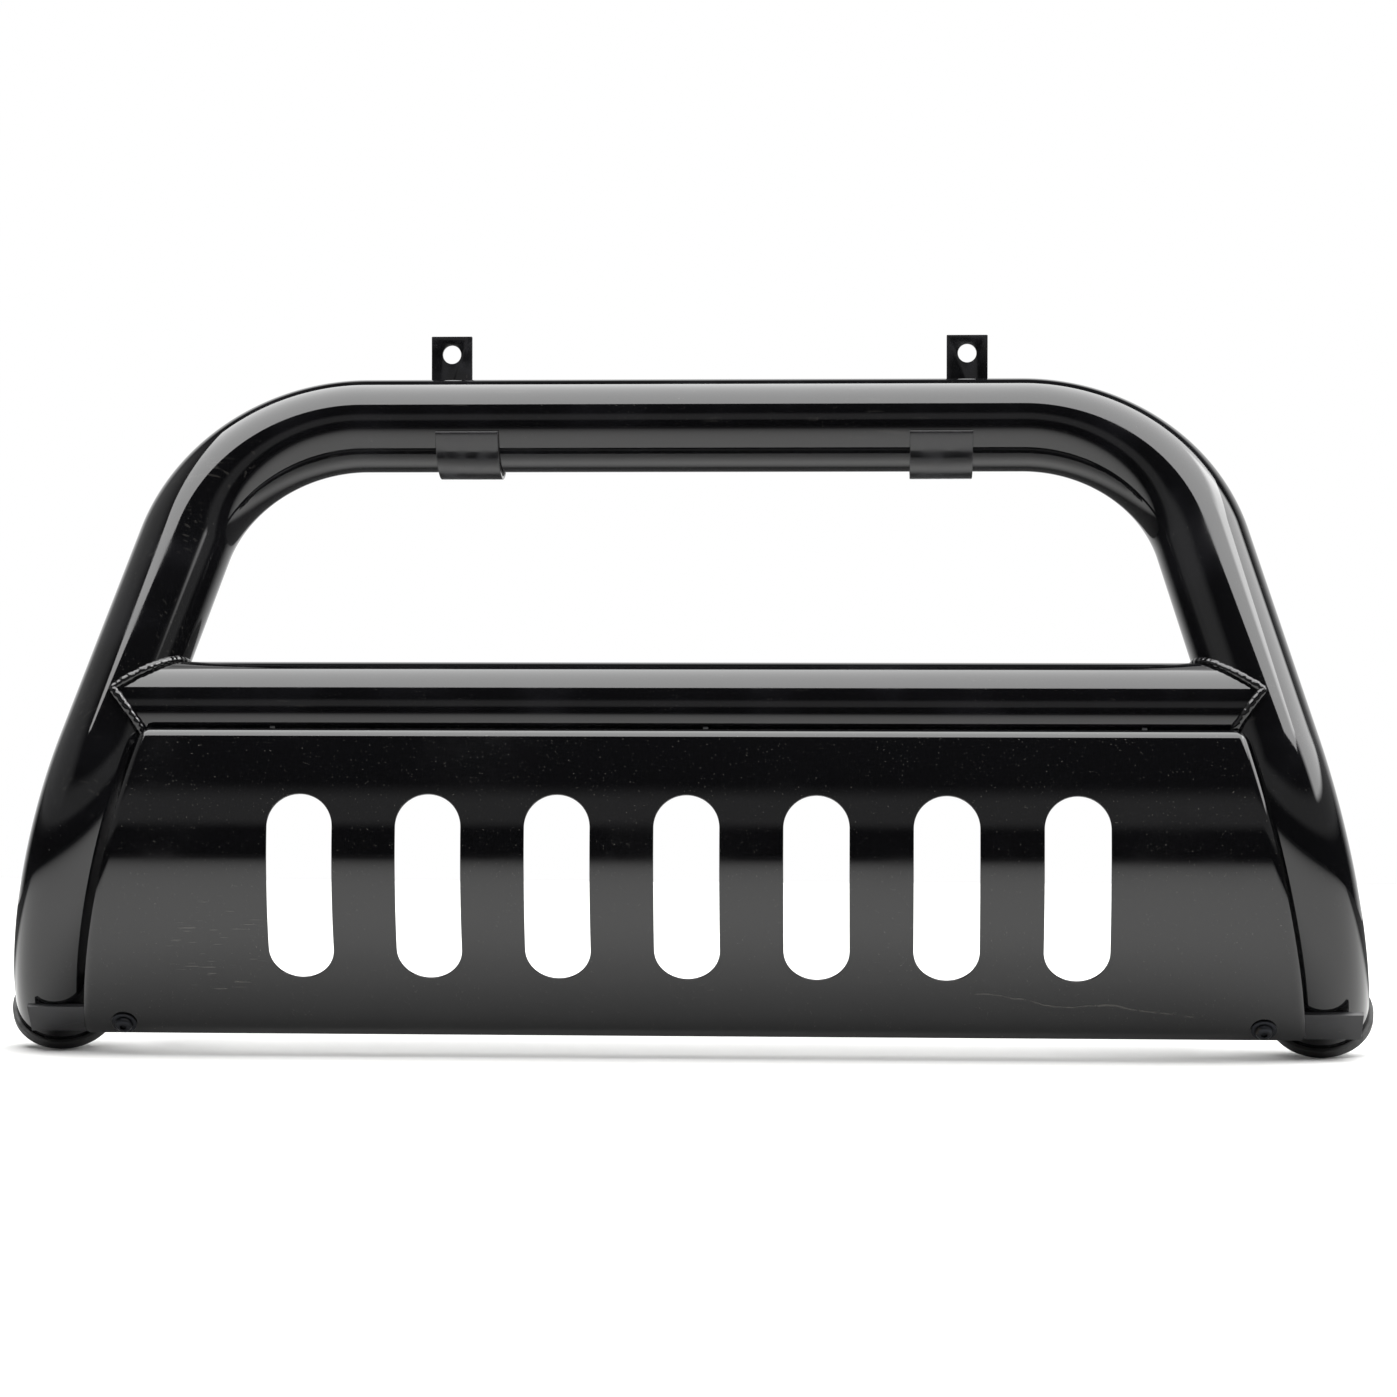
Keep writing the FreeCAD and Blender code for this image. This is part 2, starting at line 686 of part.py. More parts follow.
# ---------------------------------------------------------------- the whole guard
def make_guard():
    """Every sub-part by name, all in the leaned frame."""
    solid_hoop = rod_along_hoop(tube_radius)
    right_weld = make_crossbar_weld(solid_hoop)
    right_cap = make_end_cap()
    right_ear = make_mount_ear(solid_hoop)
    left_hanger, centre_hanger, right_hanger = [make_hanger(across) for across in hanger_places()]
    return {
        "main_hoop": make_main_hoop(solid_hoop),
        "crossbar": leaned(make_crossbar()),
        "crossbar_weld_left": leaned(mirrored(right_weld)),
        "crossbar_weld_right": leaned(right_weld),
        "end_cap_left": leaned(mirrored(right_cap)),
        "end_cap_right": leaned(right_cap),
        "skid_plate": leaned(make_skid_plate()),
        "plate_hanger_left": leaned(left_hanger),
        "plate_hanger_centre": leaned(centre_hanger),
        "plate_hanger_right": leaned(right_hanger),
        "plate_studs": leaned(make_plate_studs()),
        "stud_washers": leaned(make_stud_washers()),
        "stud_nuts": leaned(make_stud_nuts()),
        "lower_tab_left": leaned(make_lower_tab(-1, solid_hoop)),
        "lower_tab_right": leaned(make_lower_tab(1, solid_hoop)),
        "lower_screws": leaned(make_lower_screws()),
        "lower_washers": leaned(make_lower_washers()),
        "lower_nuts": leaned(make_lower_nuts()),
        "light_liner_left": make_light_liner(-1),
        "light_liner_right": make_light_liner(1),
        "light_saddle_left": make_light_saddle(-1),
        "light_saddle_right": make_light_saddle(1),
        "light_tab_left": make_light_tab(-1),
        "light_tab_right": make_light_tab(1),
        "light_bolts": make_light_bolts(),
        "light_washers": make_light_washers(),
        "light_rivet_nuts": make_rivet_nuts(),
        "mount_ear_left": mirrored(right_ear),
        "mount_ear_right": right_ear,
    }


guard = make_guard()
whole = Part.makeCompound(list(guard.values())).optimalBoundingBox(False, False)
to_bottom_centre = Vector(-whole.Center.x, -whole.Center.y, -whole.ZMin)

os.makedirs("parts", exist_ok=True)
for name, shape in guard.items():
    shape.translate(to_bottom_centre)
    shape.exportStep("parts/" + name + ".step")
    print(name, shape.isValid(), len(shape.Solids), round(shape.Volume))
print("size", round(whole.XLength, 1), round(whole.YLength, 1), round(whole.ZLength, 1))
print("origin moved by", to_bottom_centre)
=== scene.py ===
"""Front grille guard for a pick-up truck: the finished look of every piece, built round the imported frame."""

import logging
import math
import random
from dataclasses import dataclass
from enum import Enum
from functools import partial

import bpy
from bpy.types import Material, Node, NodeSocket, NodeTree, Object
from mathutils import Matrix, Vector


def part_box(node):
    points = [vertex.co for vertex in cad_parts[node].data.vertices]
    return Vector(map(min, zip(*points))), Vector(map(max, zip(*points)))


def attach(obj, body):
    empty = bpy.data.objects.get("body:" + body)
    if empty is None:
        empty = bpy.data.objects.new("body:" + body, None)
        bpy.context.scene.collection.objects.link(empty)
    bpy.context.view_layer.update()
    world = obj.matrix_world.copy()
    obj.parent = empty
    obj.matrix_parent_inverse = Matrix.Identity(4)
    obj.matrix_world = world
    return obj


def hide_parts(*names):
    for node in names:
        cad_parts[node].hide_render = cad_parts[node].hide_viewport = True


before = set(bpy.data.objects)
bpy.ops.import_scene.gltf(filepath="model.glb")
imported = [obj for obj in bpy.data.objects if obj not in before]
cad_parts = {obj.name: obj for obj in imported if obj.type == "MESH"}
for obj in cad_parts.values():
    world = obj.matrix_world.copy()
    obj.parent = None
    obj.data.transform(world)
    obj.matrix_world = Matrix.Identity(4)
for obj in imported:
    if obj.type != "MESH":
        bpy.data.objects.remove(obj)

LOG = logging.getLogger("grille_guard")
MM = 0.001
BODY = "root"
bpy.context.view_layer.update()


# ---------------------------------------------------------------- small helpers
class Side(Enum):
    """The two sides of the guard, as signs along X."""

    LEFT = -1
    RIGHT = 1

    @property
    def word(self) -> str:
        """The side's name inside node and piece names."""
        return self.name.lower()


def linear(hex_text: str, alpha: float = 1.0) -> tuple[float, float, float, float]:
    """Turn an sRGB hex colour into linear light.

    Args:
        hex_text: six hexadecimal digits, red first.
        alpha: opacity.

    Returns:
        Red, green, blue and alpha for a shader socket.
    """
    def channel(start: int) -> float:
        value = int(hex_text[start:start + 2], 16) / 255
        return value / 12.92 if value <= 0.04045 else ((value + 0.055) / 1.055) ** 2.4

    return channel(0), channel(2), channel(4), alpha


def feed(node: Node, inputs: dict | tuple) -> None:
    """Set a node's inputs.

    Args:
        node: the node.
        inputs: values by input name or number, or in the inputs' order. A socket is linked, and a node
            is linked by its first output in use; anything else is set as it is.
    """
    for key, value in inputs.items() if isinstance(inputs, dict) else enumerate(inputs):
        if isinstance(value, Node):
            value = next(socket for socket in value.outputs if socket.enabled)
        if isinstance(value, NodeSocket):
            node.id_data.links.new(value, node.inputs[key])
        else:
            node.inputs[key].default_value = value


def add_node(tree: NodeTree, kind: str, settings: dict | None = None, inputs: dict | tuple = ()) -> Node:
    """Add one shader node with its settings and links.

    Args:
        tree: the node tree it goes into.
        kind: the node's Blender class name.
        settings: attribute name to value.
        inputs: what its inputs are fed, as feed() takes it.

    Returns:
        The new node.
    """
    node = tree.nodes.new(kind)
    for name, value in (settings or {}).items():
        setattr(node, name, value)
    feed(node, inputs)
    return node


def deselect() -> None:
    """Deselect every object."""
    bpy.ops.object.select_all(action="DESELECT")


def activate(obj: Object) -> None:
    """Deselect everything, then select this object and make it the active one."""
    deselect()
    obj.select_set(True)
    bpy.context.view_layer.objects.active = obj


def edit_all() -> None:
    """Go into edit mode on the active object with all of its mesh selected."""
    bpy.ops.object.mode_set(mode="EDIT")
    bpy.ops.mesh.select_all(action="SELECT")


def end_edit() -> None:
    """Go back to object mode."""
    bpy.ops.object.mode_set(mode="OBJECT")


def bevel_across(obj: Object, offset: float, segments: int, top: float = math.inf) -> None:
    """Round a flat piece's corners: the edges that run along Y through its thickness.

    Args:
        obj: the piece.
        offset: the corner's radius.
        segments: faces round each corner.
        top: only edges below this height are rounded.
    """
    activate(obj)
    bpy.context.tool_settings.mesh_select_mode = (False, True, False)
    for part in (*obj.data.vertices, *obj.data.polygons):
        part.select = False
    for edge in obj.data.edges:
        first, second = (obj.data.vertices[index].co for index in edge.vertices)
        along = abs(first.y - second.y) > 0.5 * (first - second).length
        edge.select = along and max(first.z, second.z) < top
    bpy.ops.object.mode_set(mode="EDIT")
    bpy.ops.mesh.bevel(offset=offset, segments=segments, affect="EDGES")
    end_edit()


def take_primitive(name: str) -> Object:
    """Name the primitive that was just added and put its place into its mesh."""
    obj = bpy.context.active_object
    obj.name = name
    obj.data.name = name
    activate(obj)
    bpy.ops.object.transform_apply(location=True, rotation=True, scale=True)
    return obj


def apply_modifier(obj: Object, kind: str, **settings: object) -> None:
    """Add a modifier, set it up and apply it."""
    activate(obj)
    modifier = obj.modifiers.new(kind.lower(), kind)
    for name, value in settings.items():
        setattr(modifier, name, value)
    bpy.ops.object.modifier_apply(modifier=modifier.name)


def cut_away(obj: Object, cutter: Object) -> None:
    """Cut one mesh out of another and throw the cutter away."""
    apply_modifier(obj, "BOOLEAN", operation="DIFFERENCE", solver="EXACT", object=cutter)
    bpy.data.objects.remove(cutter)


def round_edges(obj: Object, width: float, segments: int = 3, angle: float = 35.0) -> None:
    """Round every edge sharper than an angle, then shade the rest smooth."""
    apply_modifier(obj, "BEVEL", width=width, segments=segments, limit_method="ANGLE",
                   angle_limit=math.radians(angle), harden_normals=False)
    smooth(obj, angle)


def smooth(obj: Object, angle: float = 35.0) -> None:
    """Shade smooth, with edges sharper than an angle left sharp."""
    activate(obj)
    bpy.ops.object.shade_smooth_by_angle(angle=math.radians(angle))


def tidy_mesh(obj: Object, distance: float = 0.00001) -> None:
    """Merge doubled points and turn every face outwards."""
    activate(obj)
    edit_all()
    bpy.ops.mesh.remove_doubles(threshold=distance)
    bpy.ops.mesh.normals_make_consistent(inside=False)
    end_edit()


def move_mesh(obj: Object, matrix: Matrix) -> Object:
    """Put a place into an object's mesh, keeping its faces outwards under a mirror."""
    obj.data.transform(matrix)
    if matrix.determinant() < 0:
        obj.data.flip_normals()
    obj.data.update()
    return obj


def copy_of(obj: Object, name: str, matrix: Matrix) -> Object:
    """A copy with its own mesh, moved by a matrix."""
    twin = obj.copy()
    twin.data = obj.data.copy()
    twin.name = name
    twin.data.name = name
    bpy.context.scene.collection.objects.link(twin)
    return move_mesh(twin, matrix)


def join(pieces: list[Object], name: str) -> Object:
    """Join several meshes into one piece."""
    activate(pieces[0])
    for piece in pieces[1:]:
        piece.select_set(True)
    bpy.ops.object.join()
    pieces[0].name = name
    return pieces[0]


MIRROR = Matrix.Diagonal((-1, 1, 1, 1))


def lathe(name: str, profile: list[tuple[float, float]], steps: int = 64) -> Object:
    """Turn a profile of (radius, height) points once round Z.

    Args:
        name: the new piece's name.
        profile: points from one end to the other, in metres.
        steps: faces round the piece.

    Returns:
        The turned piece, closed at the axis.
    """
    bpy.ops.mesh.primitive_plane_add(size=1.0)
    obj = take_primitive(name)
    mesh = obj.data
    mesh.clear_geometry()
    edges = [(i, i + 1) for i in range(len(profile) - 1)]
    mesh.from_pydata([(radius, 0.0, height) for radius, height in profile], edges, [])
    edit_all()
    bpy.ops.mesh.spin(steps=steps, angle=math.tau, center=(0, 0, 0), axis=(0, 0, 1))
    end_edit()
    tidy_mesh(obj)
    return obj


def extruded(name: str, outline: list[Vector], along: Vector) -> Object:
    """Extrude a flat outline into a solid.

    Args:
        name: the new piece's name.
        outline: corners in order.
        along: the way and length of the extrusion.

    Returns:
        The closed solid.
    """
    bpy.ops.mesh.primitive_plane_add(size=1.0)
    obj = take_primitive(name)
    obj.data.clear_geometry()
    obj.data.from_pydata(outline, [], [tuple(range(len(outline)))])
    edit_all()
    bpy.ops.mesh.extrude_region_move(TRANSFORM_OT_translate={"value": along})
    end_edit()
    tidy_mesh(obj)
    return obj


def round_cutter(centre: Vector, radius: float, axis: Vector, depth: float,
                 vertices: int = 64) -> Object:
    """A cylinder for cutting a round hole."""
    bpy.ops.mesh.primitive_cylinder_add(vertices=vertices, radius=radius, depth=depth, location=centre,
                                        rotation=axis.to_track_quat("Z", "Y").to_euler())
    return take_primitive("cutter")


def bead(name: str, points: list[Vector], radius: float, ripple: float, pitch: float,
         seed: int) -> Object:
    """A weld bead along a line of points, laid down in overlapping scales.

    Args:
        name: the new piece's name.
        points: the seam, evenly spaced.
        radius: the bead's mean radius.
        ripple: how far each scale stands out of the one before.
        pitch: length of one scale along the seam.
        seed: picks the hand's small wander.

    Returns:
        The bead as a closed mesh.
    """
    dice = random.Random(seed)
    curve = bpy.data.curves.new(name, "CURVE")
    curve.dimensions = "3D"
    curve.bevel_depth = radius
    curve.bevel_resolution = 6
    curve.use_fill_caps = True
    spline = curve.splines.new("POLY")
    spline.points.add(len(points) - 1)
    travelled = 0.0
    scale_length = pitch
    scale_start = 0.0
    swell = 1.0
    for index, point in enumerate(points):
        if index:
            travelled += (point - points[index - 1]).length
        if travelled - scale_start > scale_length:
            scale_start = travelled
            scale_length = pitch * dice.uniform(0.75, 1.3)
            swell = dice.uniform(0.86, 1.14)
        share = (travelled - scale_start) / scale_length
        hump = math.sin(math.pi * min(share, 1.0) ** 0.6)
        wander = Vector([dice.uniform(-1, 1) for _ in range(3)]) * (0.03 * radius)
        spline.points[index].co = (*(point + wander), 1.0)
        spline.points[index].radius = swell + hump * ripple / radius
    obj = bpy.data.objects.new(name, curve)
    bpy.context.scene.collection.objects.link(obj)
    activate(obj)
    bpy.ops.object.convert(target="MESH")
    obj = bpy.context.active_object
    tidy_mesh(obj)
    apply_modifier(obj, "SMOOTH", factor=0.5, iterations=2)
    activate(obj)
    bpy.ops.object.shade_smooth()
    return obj


# ---------------------------------------------------------------- finishes
NOISE, RANGE, MATH, MIX = "ShaderNodeTexNoise", "ShaderNodeMapRange", "ShaderNodeMath", "ShaderNodeMix"
BUMP, MAPPING, SPLIT = "ShaderNodeBump", "ShaderNodeMapping", "ShaderNodeSeparateXYZ"
VECTOR_MATH, BACKGROUND = "ShaderNodeVectorMath", "ShaderNodeBackground"
ADD, SUBTRACT, MULTIPLY, MULTIPLY_ADD, MAXIMUM = (
    {"operation": word} for word in ("ADD", "SUBTRACT", "MULTIPLY", "MULTIPLY_ADD", "MAXIMUM"))
SMOOTH = {"interpolation_type": "SMOOTHSTEP"}
RGBA = {"data_type": "RGBA"}
PAINT_IOR = 1.5
POLYETHYLENE_IOR = 1.51


@dataclass(frozen=True)
class Finish:
    """What every finish shares: its name, its main colour and how a material of it starts."""

    name: str
    colour: str

    def start(self) -> tuple[Material, partial, Node, NodeSocket]:
        """Make an empty material.

        Returns:
            The material, what adds nodes to it, its shader and its object coordinates.
        """
        material = bpy.data.materials.new(self.name)
        material.use_nodes = True
        material.node_tree.nodes.clear()
        node = partial(add_node, material.node_tree)
        shader = node("ShaderNodeBsdfPrincipled")
        node("ShaderNodeOutputMaterial", None, (shader,))
        return material, node, shader, node("ShaderNodeTexCoord").outputs["Object"]


@dataclass(frozen=True)
class GlossPowderCoat(Finish):
    """Black polyester powder coat, baked to a wet gloss: mirror-like, with a faint orange peel.

    Dust settles on it as pale specks, hands leave softer patches, and cloths leave hairlines.
    """

    smudge_colour: str = "0d0d0f"
    dust_colour: str = "55534f"
    roughness: float = 0.035
    smudge_roughness: float = 0.10
    mark_roughness: float = 0.35
    peel_size: float = 2.6 * MM
    peel_height: float = 0.0025 * MM
    speck_size: float = 0.9 * MM
    speck_share: float = 0.80
    speck_strength: float = 0.5
    hairline_width: float = 1.3 * MM
    hairline_draw: tuple[float, float, float] = (0.035, 1.0, 0.35)
    hairline_strength: float = 0.12

    def material(self) -> Material:
        """Build the coat."""
        material, node, shader, place = self.start()
        drawn = node(MAPPING, None, {"Vector": place, "Scale": self.hairline_draw})
        smudge, specks, dusty, lines, patch, peel = (
            node(NOISE, None, {"Vector": vector, "Scale": 1 / size, "Detail": detail})
            for vector, size, detail in (
                (place, 70 * MM, 3.0), (place, self.speck_size, 0.0), (place, 45 * MM, 4.0),
                (drawn, self.hairline_width, 0.0), (place, 60 * MM, 2.0), (place, self.peel_size, 2.0)))
        # hands: soft patches a palm wide, a little greyer and duller
        smudge = node(RANGE, SMOOTH, (smudge, 0.45, 0.75))
        # dust: specks of a millimetre where it has settled, drawn as coarse as they need to show
        specks = node(RANGE, SMOOTH, (specks, self.speck_share, self.speck_share + 0.05))
        dusty = node(RANGE, SMOOTH, (dusty, 0.42, 0.68, 0.0, self.speck_strength))
        # cloths: long hairlines in some patches
        lines = node(RANGE, SMOOTH, (lines, 0.70, 0.76))
        patch = node(RANGE, SMOOTH, (patch, 0.52, 0.66, 0.0, self.hairline_strength))
        marks = node(MATH, MAXIMUM, (node(MATH, MULTIPLY, (specks, dusty)),
                                     node(MATH, MULTIPLY, (lines, patch))))
        tint = node(MIX, RGBA, {0: smudge, 6: linear(self.colour), 7: linear(self.smudge_colour)})
        soft = node(RANGE, SMOOTH, (smudge, 0.0, 1.0, self.roughness, self.smudge_roughness))
        feed(shader, {
            "Base Color": node(MIX, RGBA, {0: marks, 6: tint, 7: linear(self.dust_colour)}),
            "Roughness": node(MATH, MULTIPLY_ADD, (marks, self.mark_roughness, soft)),
            "Normal": node(BUMP, None, {"Height": peel, "Distance": self.peel_height, "Strength": 1.0}),
            "IOR": PAINT_IOR})
        return material


@dataclass(frozen=True)
class ScuffedPlateCoat(Finish):
    """The same powder coat on the plate, which stands in the way of shoes and stones.

    Short pale scratches cross it at the lower left, and one long hairline runs across its lower right.
    """

    haze_colour: str = "2a2a2b"
    dust_colour: str = "6b6963"
    roughness: float = 0.05
    smudge_roughness: float = 0.14
    mark_roughness: float = 0.3
    peel_size: float = 3.0 * MM
    peel_height: float = 0.002 * MM
    scratch_height: float = 0.02 * MM
    scratch_width: float = 0.9 * MM
    scratch_slant: float = math.radians(32)
    scratch_zone: float = 48 * MM

    def material(self) -> Material:
        """Build the coat."""
        material, node, shader, place = self.start()
        drawn = node(MAPPING, None, {"Vector": place, "Scale": (0.4, 1, 1)})
        slanted = node(MAPPING, None, {"Vector": place, "Rotation": (0, self.scratch_slant, 0),
                                       "Scale": (0.05, 1.0, 1.0)})
        smudge, specks, haze, scratches, peel = (
            node(NOISE, None, {"Vector": vector, "Scale": 1 / size, "Detail": detail})
            for vector, size, detail in (
                (place, 90 * MM, 4.0), (place, 0.9 * MM, 0.0), (drawn, 6 * MM, 5.0),
                (slanted, self.scratch_width, 0.0), (place, self.peel_size, 2.0)))
        # hands and weather: broad patches with a faint grey haze in them
        smudge = node(RANGE, SMOOTH, (smudge, 0.42, 0.72))
        haze = node(MATH, MULTIPLY, (smudge, node(RANGE, SMOOTH, (haze, 0.5, 0.8, 0.0, 0.10))))
        specks = node(RANGE, SMOOTH, (specks, 0.81, 0.85, 0.0, 0.5))
        # shoes: short slanted scratches in one round zone, and the long hairline
        scratches = node(RANGE, SMOOTH, (scratches, 0.74, 0.79))
        scratches = node(MATH, MULTIPLY, (scratches, self.zone(node, place)))
        hairline = self.hairline(node, place)
        marks = node(MATH, MAXIMUM, (specks, node(MATH, MULTIPLY, (scratches, 0.5))))
        marks = node(MATH, MAXIMUM, (marks, node(MATH, MULTIPLY, (hairline, 0.25))))
        tint = node(MIX, RGBA, {0: haze, 6: linear(self.colour), 7: linear(self.haze_colour)})
        soft = node(RANGE, SMOOTH, (smudge, 0.0, 1.0, self.roughness, self.smudge_roughness))
        cuts = node(MATH, MAXIMUM, (scratches, hairline))
        relief = node(MATH, MULTIPLY_ADD, (cuts, -self.scratch_height / self.peel_height, peel))
        feed(shader, {
            "Base Color": node(MIX, RGBA, {0: marks, 6: tint, 7: linear(self.dust_colour)}),
            "Roughness": node(MATH, MULTIPLY_ADD, (marks, self.mark_roughness, soft)),
            "Normal": node(BUMP, None, {"Height": relief, "Distance": self.peel_height, "Strength": 1.0}),
            "IOR": PAINT_IOR})
        return material

    def zone(self, node: partial, place: NodeSocket) -> Node:
        """One in the middle of the scratched zone seen from the front, nothing outside it."""
        low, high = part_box("skid_plate")
        centre = (low.x + 0.12 * (high.x - low.x), 0, low.z + 0.30 * (high.z - low.z))
        flat = node(VECTOR_MATH, MULTIPLY, (place, (1, 0, 1)))
        reach = node(VECTOR_MATH, {"operation": "DISTANCE"}, (flat, centre))
        return node(RANGE, SMOOTH, (reach.outputs["Value"], self.scratch_zone, 0.4 * self.scratch_zone))

    def hairline(self, node: partial, place: NodeSocket) -> Node:
        """A long wavering hairline across the plate's lower right."""
        low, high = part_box("skid_plate")
        width, height = high.x - low.x, high.z - low.z
        parts = node(SPLIT, None, (place,))
        across = parts.outputs["X"]
        sway, breaks = (node(NOISE, None, {"Vector": place, "Scale": 1 / size, "Detail": detail})
                        for size, detail in ((50 * MM, 3.0), (9 * MM, 2.0)))
        level = node(MATH, MULTIPLY_ADD, (sway, -0.09 * height, parts.outputs["Z"]))
        level = node(MATH, MULTIPLY_ADD, (across, 0.10, level))
        away = node(MATH, {"operation": "ABSOLUTE"}, (node(MATH, SUBTRACT, (level, low.z + 0.20 * height)),))
        line = node(RANGE, SMOOTH, (away, 0.9 * MM, 0.3 * MM))
        for value, dim, clear in ((breaks, 0.35, 0.6), (across, low.x + 0.70 * width, low.x + 0.74 * width),
                                  (across, low.x + 0.93 * width, low.x + 0.88 * width)):
            line = node(MATH, MULTIPLY, (line, node(RANGE, SMOOTH, (value, dim, clear))))
        return line


@dataclass(frozen=True)
class SatinCoat(Finish):
    """Thin satin black coat on cut steel: an even low sheen over a fine pebbled skin."""

    cloud_colour: str = "17171a"
    worn_colour: str = "3a3633"
    roughness: float = 0.36
    pebble_size: float = 0.7 * MM
    pebble_height: float = 0.02 * MM

    def material(self) -> Material:
        """Build the coat."""
        material, node, shader, place = self.start()
        cloud, worn, skin = (node(NOISE, None, {"Vector": place, "Scale": 1 / size, "Detail": detail})
                             for size, detail in ((18 * MM, 4.0), (2.2 * MM, 3.0), (self.pebble_size, 3.0)))
        # film thickness varies in clouds; the coat is rubbed thin in spots of a few millimetres
        cloud = node(RANGE, SMOOTH, (cloud, 0.35, 0.7))
        worn = node(RANGE, SMOOTH, (worn, 0.68, 0.78, 0.0, 0.6))
        tint = node(MIX, RGBA, {0: cloud, 6: linear(self.colour), 7: linear(self.cloud_colour)})
        feed(shader, {
            "Base Color": node(MIX, RGBA, {0: worn, 6: tint, 7: linear(self.worn_colour)}),
            "Roughness": node(RANGE, SMOOTH, (cloud, 0.0, 1.0, self.roughness, self.roughness + 0.14)),
            "Normal": node(BUMP, None, {"Height": skin, "Distance": self.pebble_height, "Strength": 1.0})})
        return material


@dataclass(frozen=True)
class MouldedPolyethylene(Finish):
    """Injection-moulded black polyethylene: dull, with a fine spark-eroded grain and pale scuffs."""

    scuff_colour: str = "3c3b39"
    roughness: float = 0.52
    grain_size: float = 0.5 * MM
    grain_height: float = 0.035 * MM

    def material(self) -> Material:
        """Build the plastic."""
        material, node, shader, place = self.start()
        drawn = node(MAPPING, None, {"Vector": place, "Scale": (0.3, 1, 1)})
        scuff, dull, grain = (
            node(NOISE, None, {"Vector": vector, "Scale": 1 / size, "Detail": detail})
            for vector, size, detail in (
                (drawn, 3 * MM, 5.0), (place, 12 * MM, 3.0), (place, self.grain_size, 1.0)))
        scuff = node(RANGE, SMOOTH, (scuff, 0.62, 0.78, 0.0, 0.5))
        feed(shader, {
            "Base Color": node(MIX, RGBA, {0: scuff, 6: linear(self.colour), 7: linear(self.scuff_colour)}),
            "Roughness": node(RANGE, SMOOTH, (dull, 0.3, 0.7, self.roughness - 0.06, self.roughness + 0.12)),
            "Normal": node(BUMP, None, {"Height": grain, "Distance": self.grain_height, "Strength": 1.0}),
            "IOR": POLYETHYLENE_IOR})
        return material


@dataclass(frozen=True)
class SheetRubber(Finish):
    """Black EPDM strip: almost no shine, faint calender lines and a grey bloom."""

    bloom_colour: str = "2b2a29"
    roughness: float = 0.68
    bloom_roughness: float = 0.86
    line_spacing: float = 1.2 * MM
    line_height: float = 0.04 * MM

    def material(self) -> Material:
        """Build the rubber."""
        material, node, shader, place = self.start()
        bloom = node(NOISE, None, {"Vector": place, "Scale": 1 / (8 * MM), "Detail": 5.0})
        bloom = node(RANGE, SMOOTH, (bloom, 0.4, 0.8))
        lines = node("ShaderNodeTexWave", {"bands_direction": "X"}, {
            "Vector": place, "Scale": math.tau / (20 * self.line_spacing), "Distortion": 0.4})
        feed(shader, {
            "Base Color": node(MIX, RGBA, {0: bloom, 6: linear(self.colour), 7: linear(self.bloom_colour)}),
            "Roughness": node(RANGE, SMOOTH, (bloom, 0.0, 1.0, self.roughness, self.bloom_roughness)),
            "Normal": node(BUMP, None, {"Height": lines.outputs["Fac"], "Distance": self.line_height,
                                        "Strength": 1.0})})
        return material


@dataclass(frozen=True)
class PlatedSteel(Finish):
    """Zinc plated cold-headed steel: metal with drawn lines, a cloudy bloom and small stains."""

    stain_colour: str = "6f6a5c"
    roughness: float = 0.28
    line_size: float = 0.4 * MM
    line_height: float = 0.008 * MM

    def material(self) -> Material:
        """Build the metal."""
        material, node, shader, place = self.start()
        drawn = node(MAPPING, None, {"Vector": place, "Scale": (0.15, 1, 1)})
        bloom, stain, lines = (
            node(NOISE, None, {"Vector": vector, "Scale": 1 / size, "Detail": detail})
            for vector, size, detail in (
                (place, 4 * MM, 4.0), (place, 7 * MM, 5.0), (drawn, self.line_size, 2.0)))
        bloom = node(RANGE, SMOOTH, (bloom, 0.35, 0.75))
        stain = node(RANGE, SMOOTH, (stain, 0.58, 0.78, 0.0, 0.7))
        feed(shader, {
            "Base Color": node(MIX, RGBA, {0: stain, 6: linear(self.colour), 7: linear(self.stain_colour)}),
            "Roughness": node(RANGE, SMOOTH, (bloom, 0.0, 1.0, self.roughness, self.roughness + 0.22)),
            "Normal": node(BUMP, None, {"Height": lines, "Distance": self.line_height, "Strength": 1.0}),
            "Metallic": 1.0})
        return material


@dataclass(frozen=True)
class FloorPaper(Finish):
    """Matt paper roll under the guard."""

    second_colour: str = "d6d6d5"
    roughness: float = 0.9

    def material(self) -> Material:
        """Build the paper."""
        material, node, shader, place = self.start()
        cloud = node(NOISE, None, {"Vector": place, "Scale": 1 / 0.4, "Detail": 2.0})
        tone = node(MIX, RGBA, {0: cloud, 6: linear(self.colour), 7: linear(self.second_colour)})
        feed(shader, {"Base Color": tone, "Roughness": self.roughness})
        return material


@dataclass(frozen=True)
class RoomFloor(Finish):
    """The floor as the gloss mirrors it, with painted shade: pale round the guard, painted dark farther off in
    front and behind where the room is unlit.
    """

    # painted shade: the dark tone the mirrored floor is given farther off
    painted_shade_colour: str = "303030"
    front_dark: float = -3.4
    front_pale: float = -0.35
    back_pale: float = 0.15
    back_dark: float = 0.50
    roughness: float = 0.9

    def material(self) -> Material:
        """Build the floor."""
        material, node, shader, place = self.start()
        depth = node(SPLIT, None, (place,)).outputs["Y"]
        # painted shade: the floor's colour fades to dark farther off in front and behind, standing in for the
        # unlit room that the gloss mirrors
        near = node(MATH, MULTIPLY, (node(RANGE, SMOOTH, (depth, self.front_dark, self.front_pale)),
                                     node(RANGE, SMOOTH, (depth, self.back_dark, self.back_pale))))
        tone = node(MIX, RGBA, {0: near, 6: linear(self.painted_shade_colour), 7: linear(self.colour)})
        feed(shader, {"Base Color": tone, "Roughness": self.roughness})
        return material


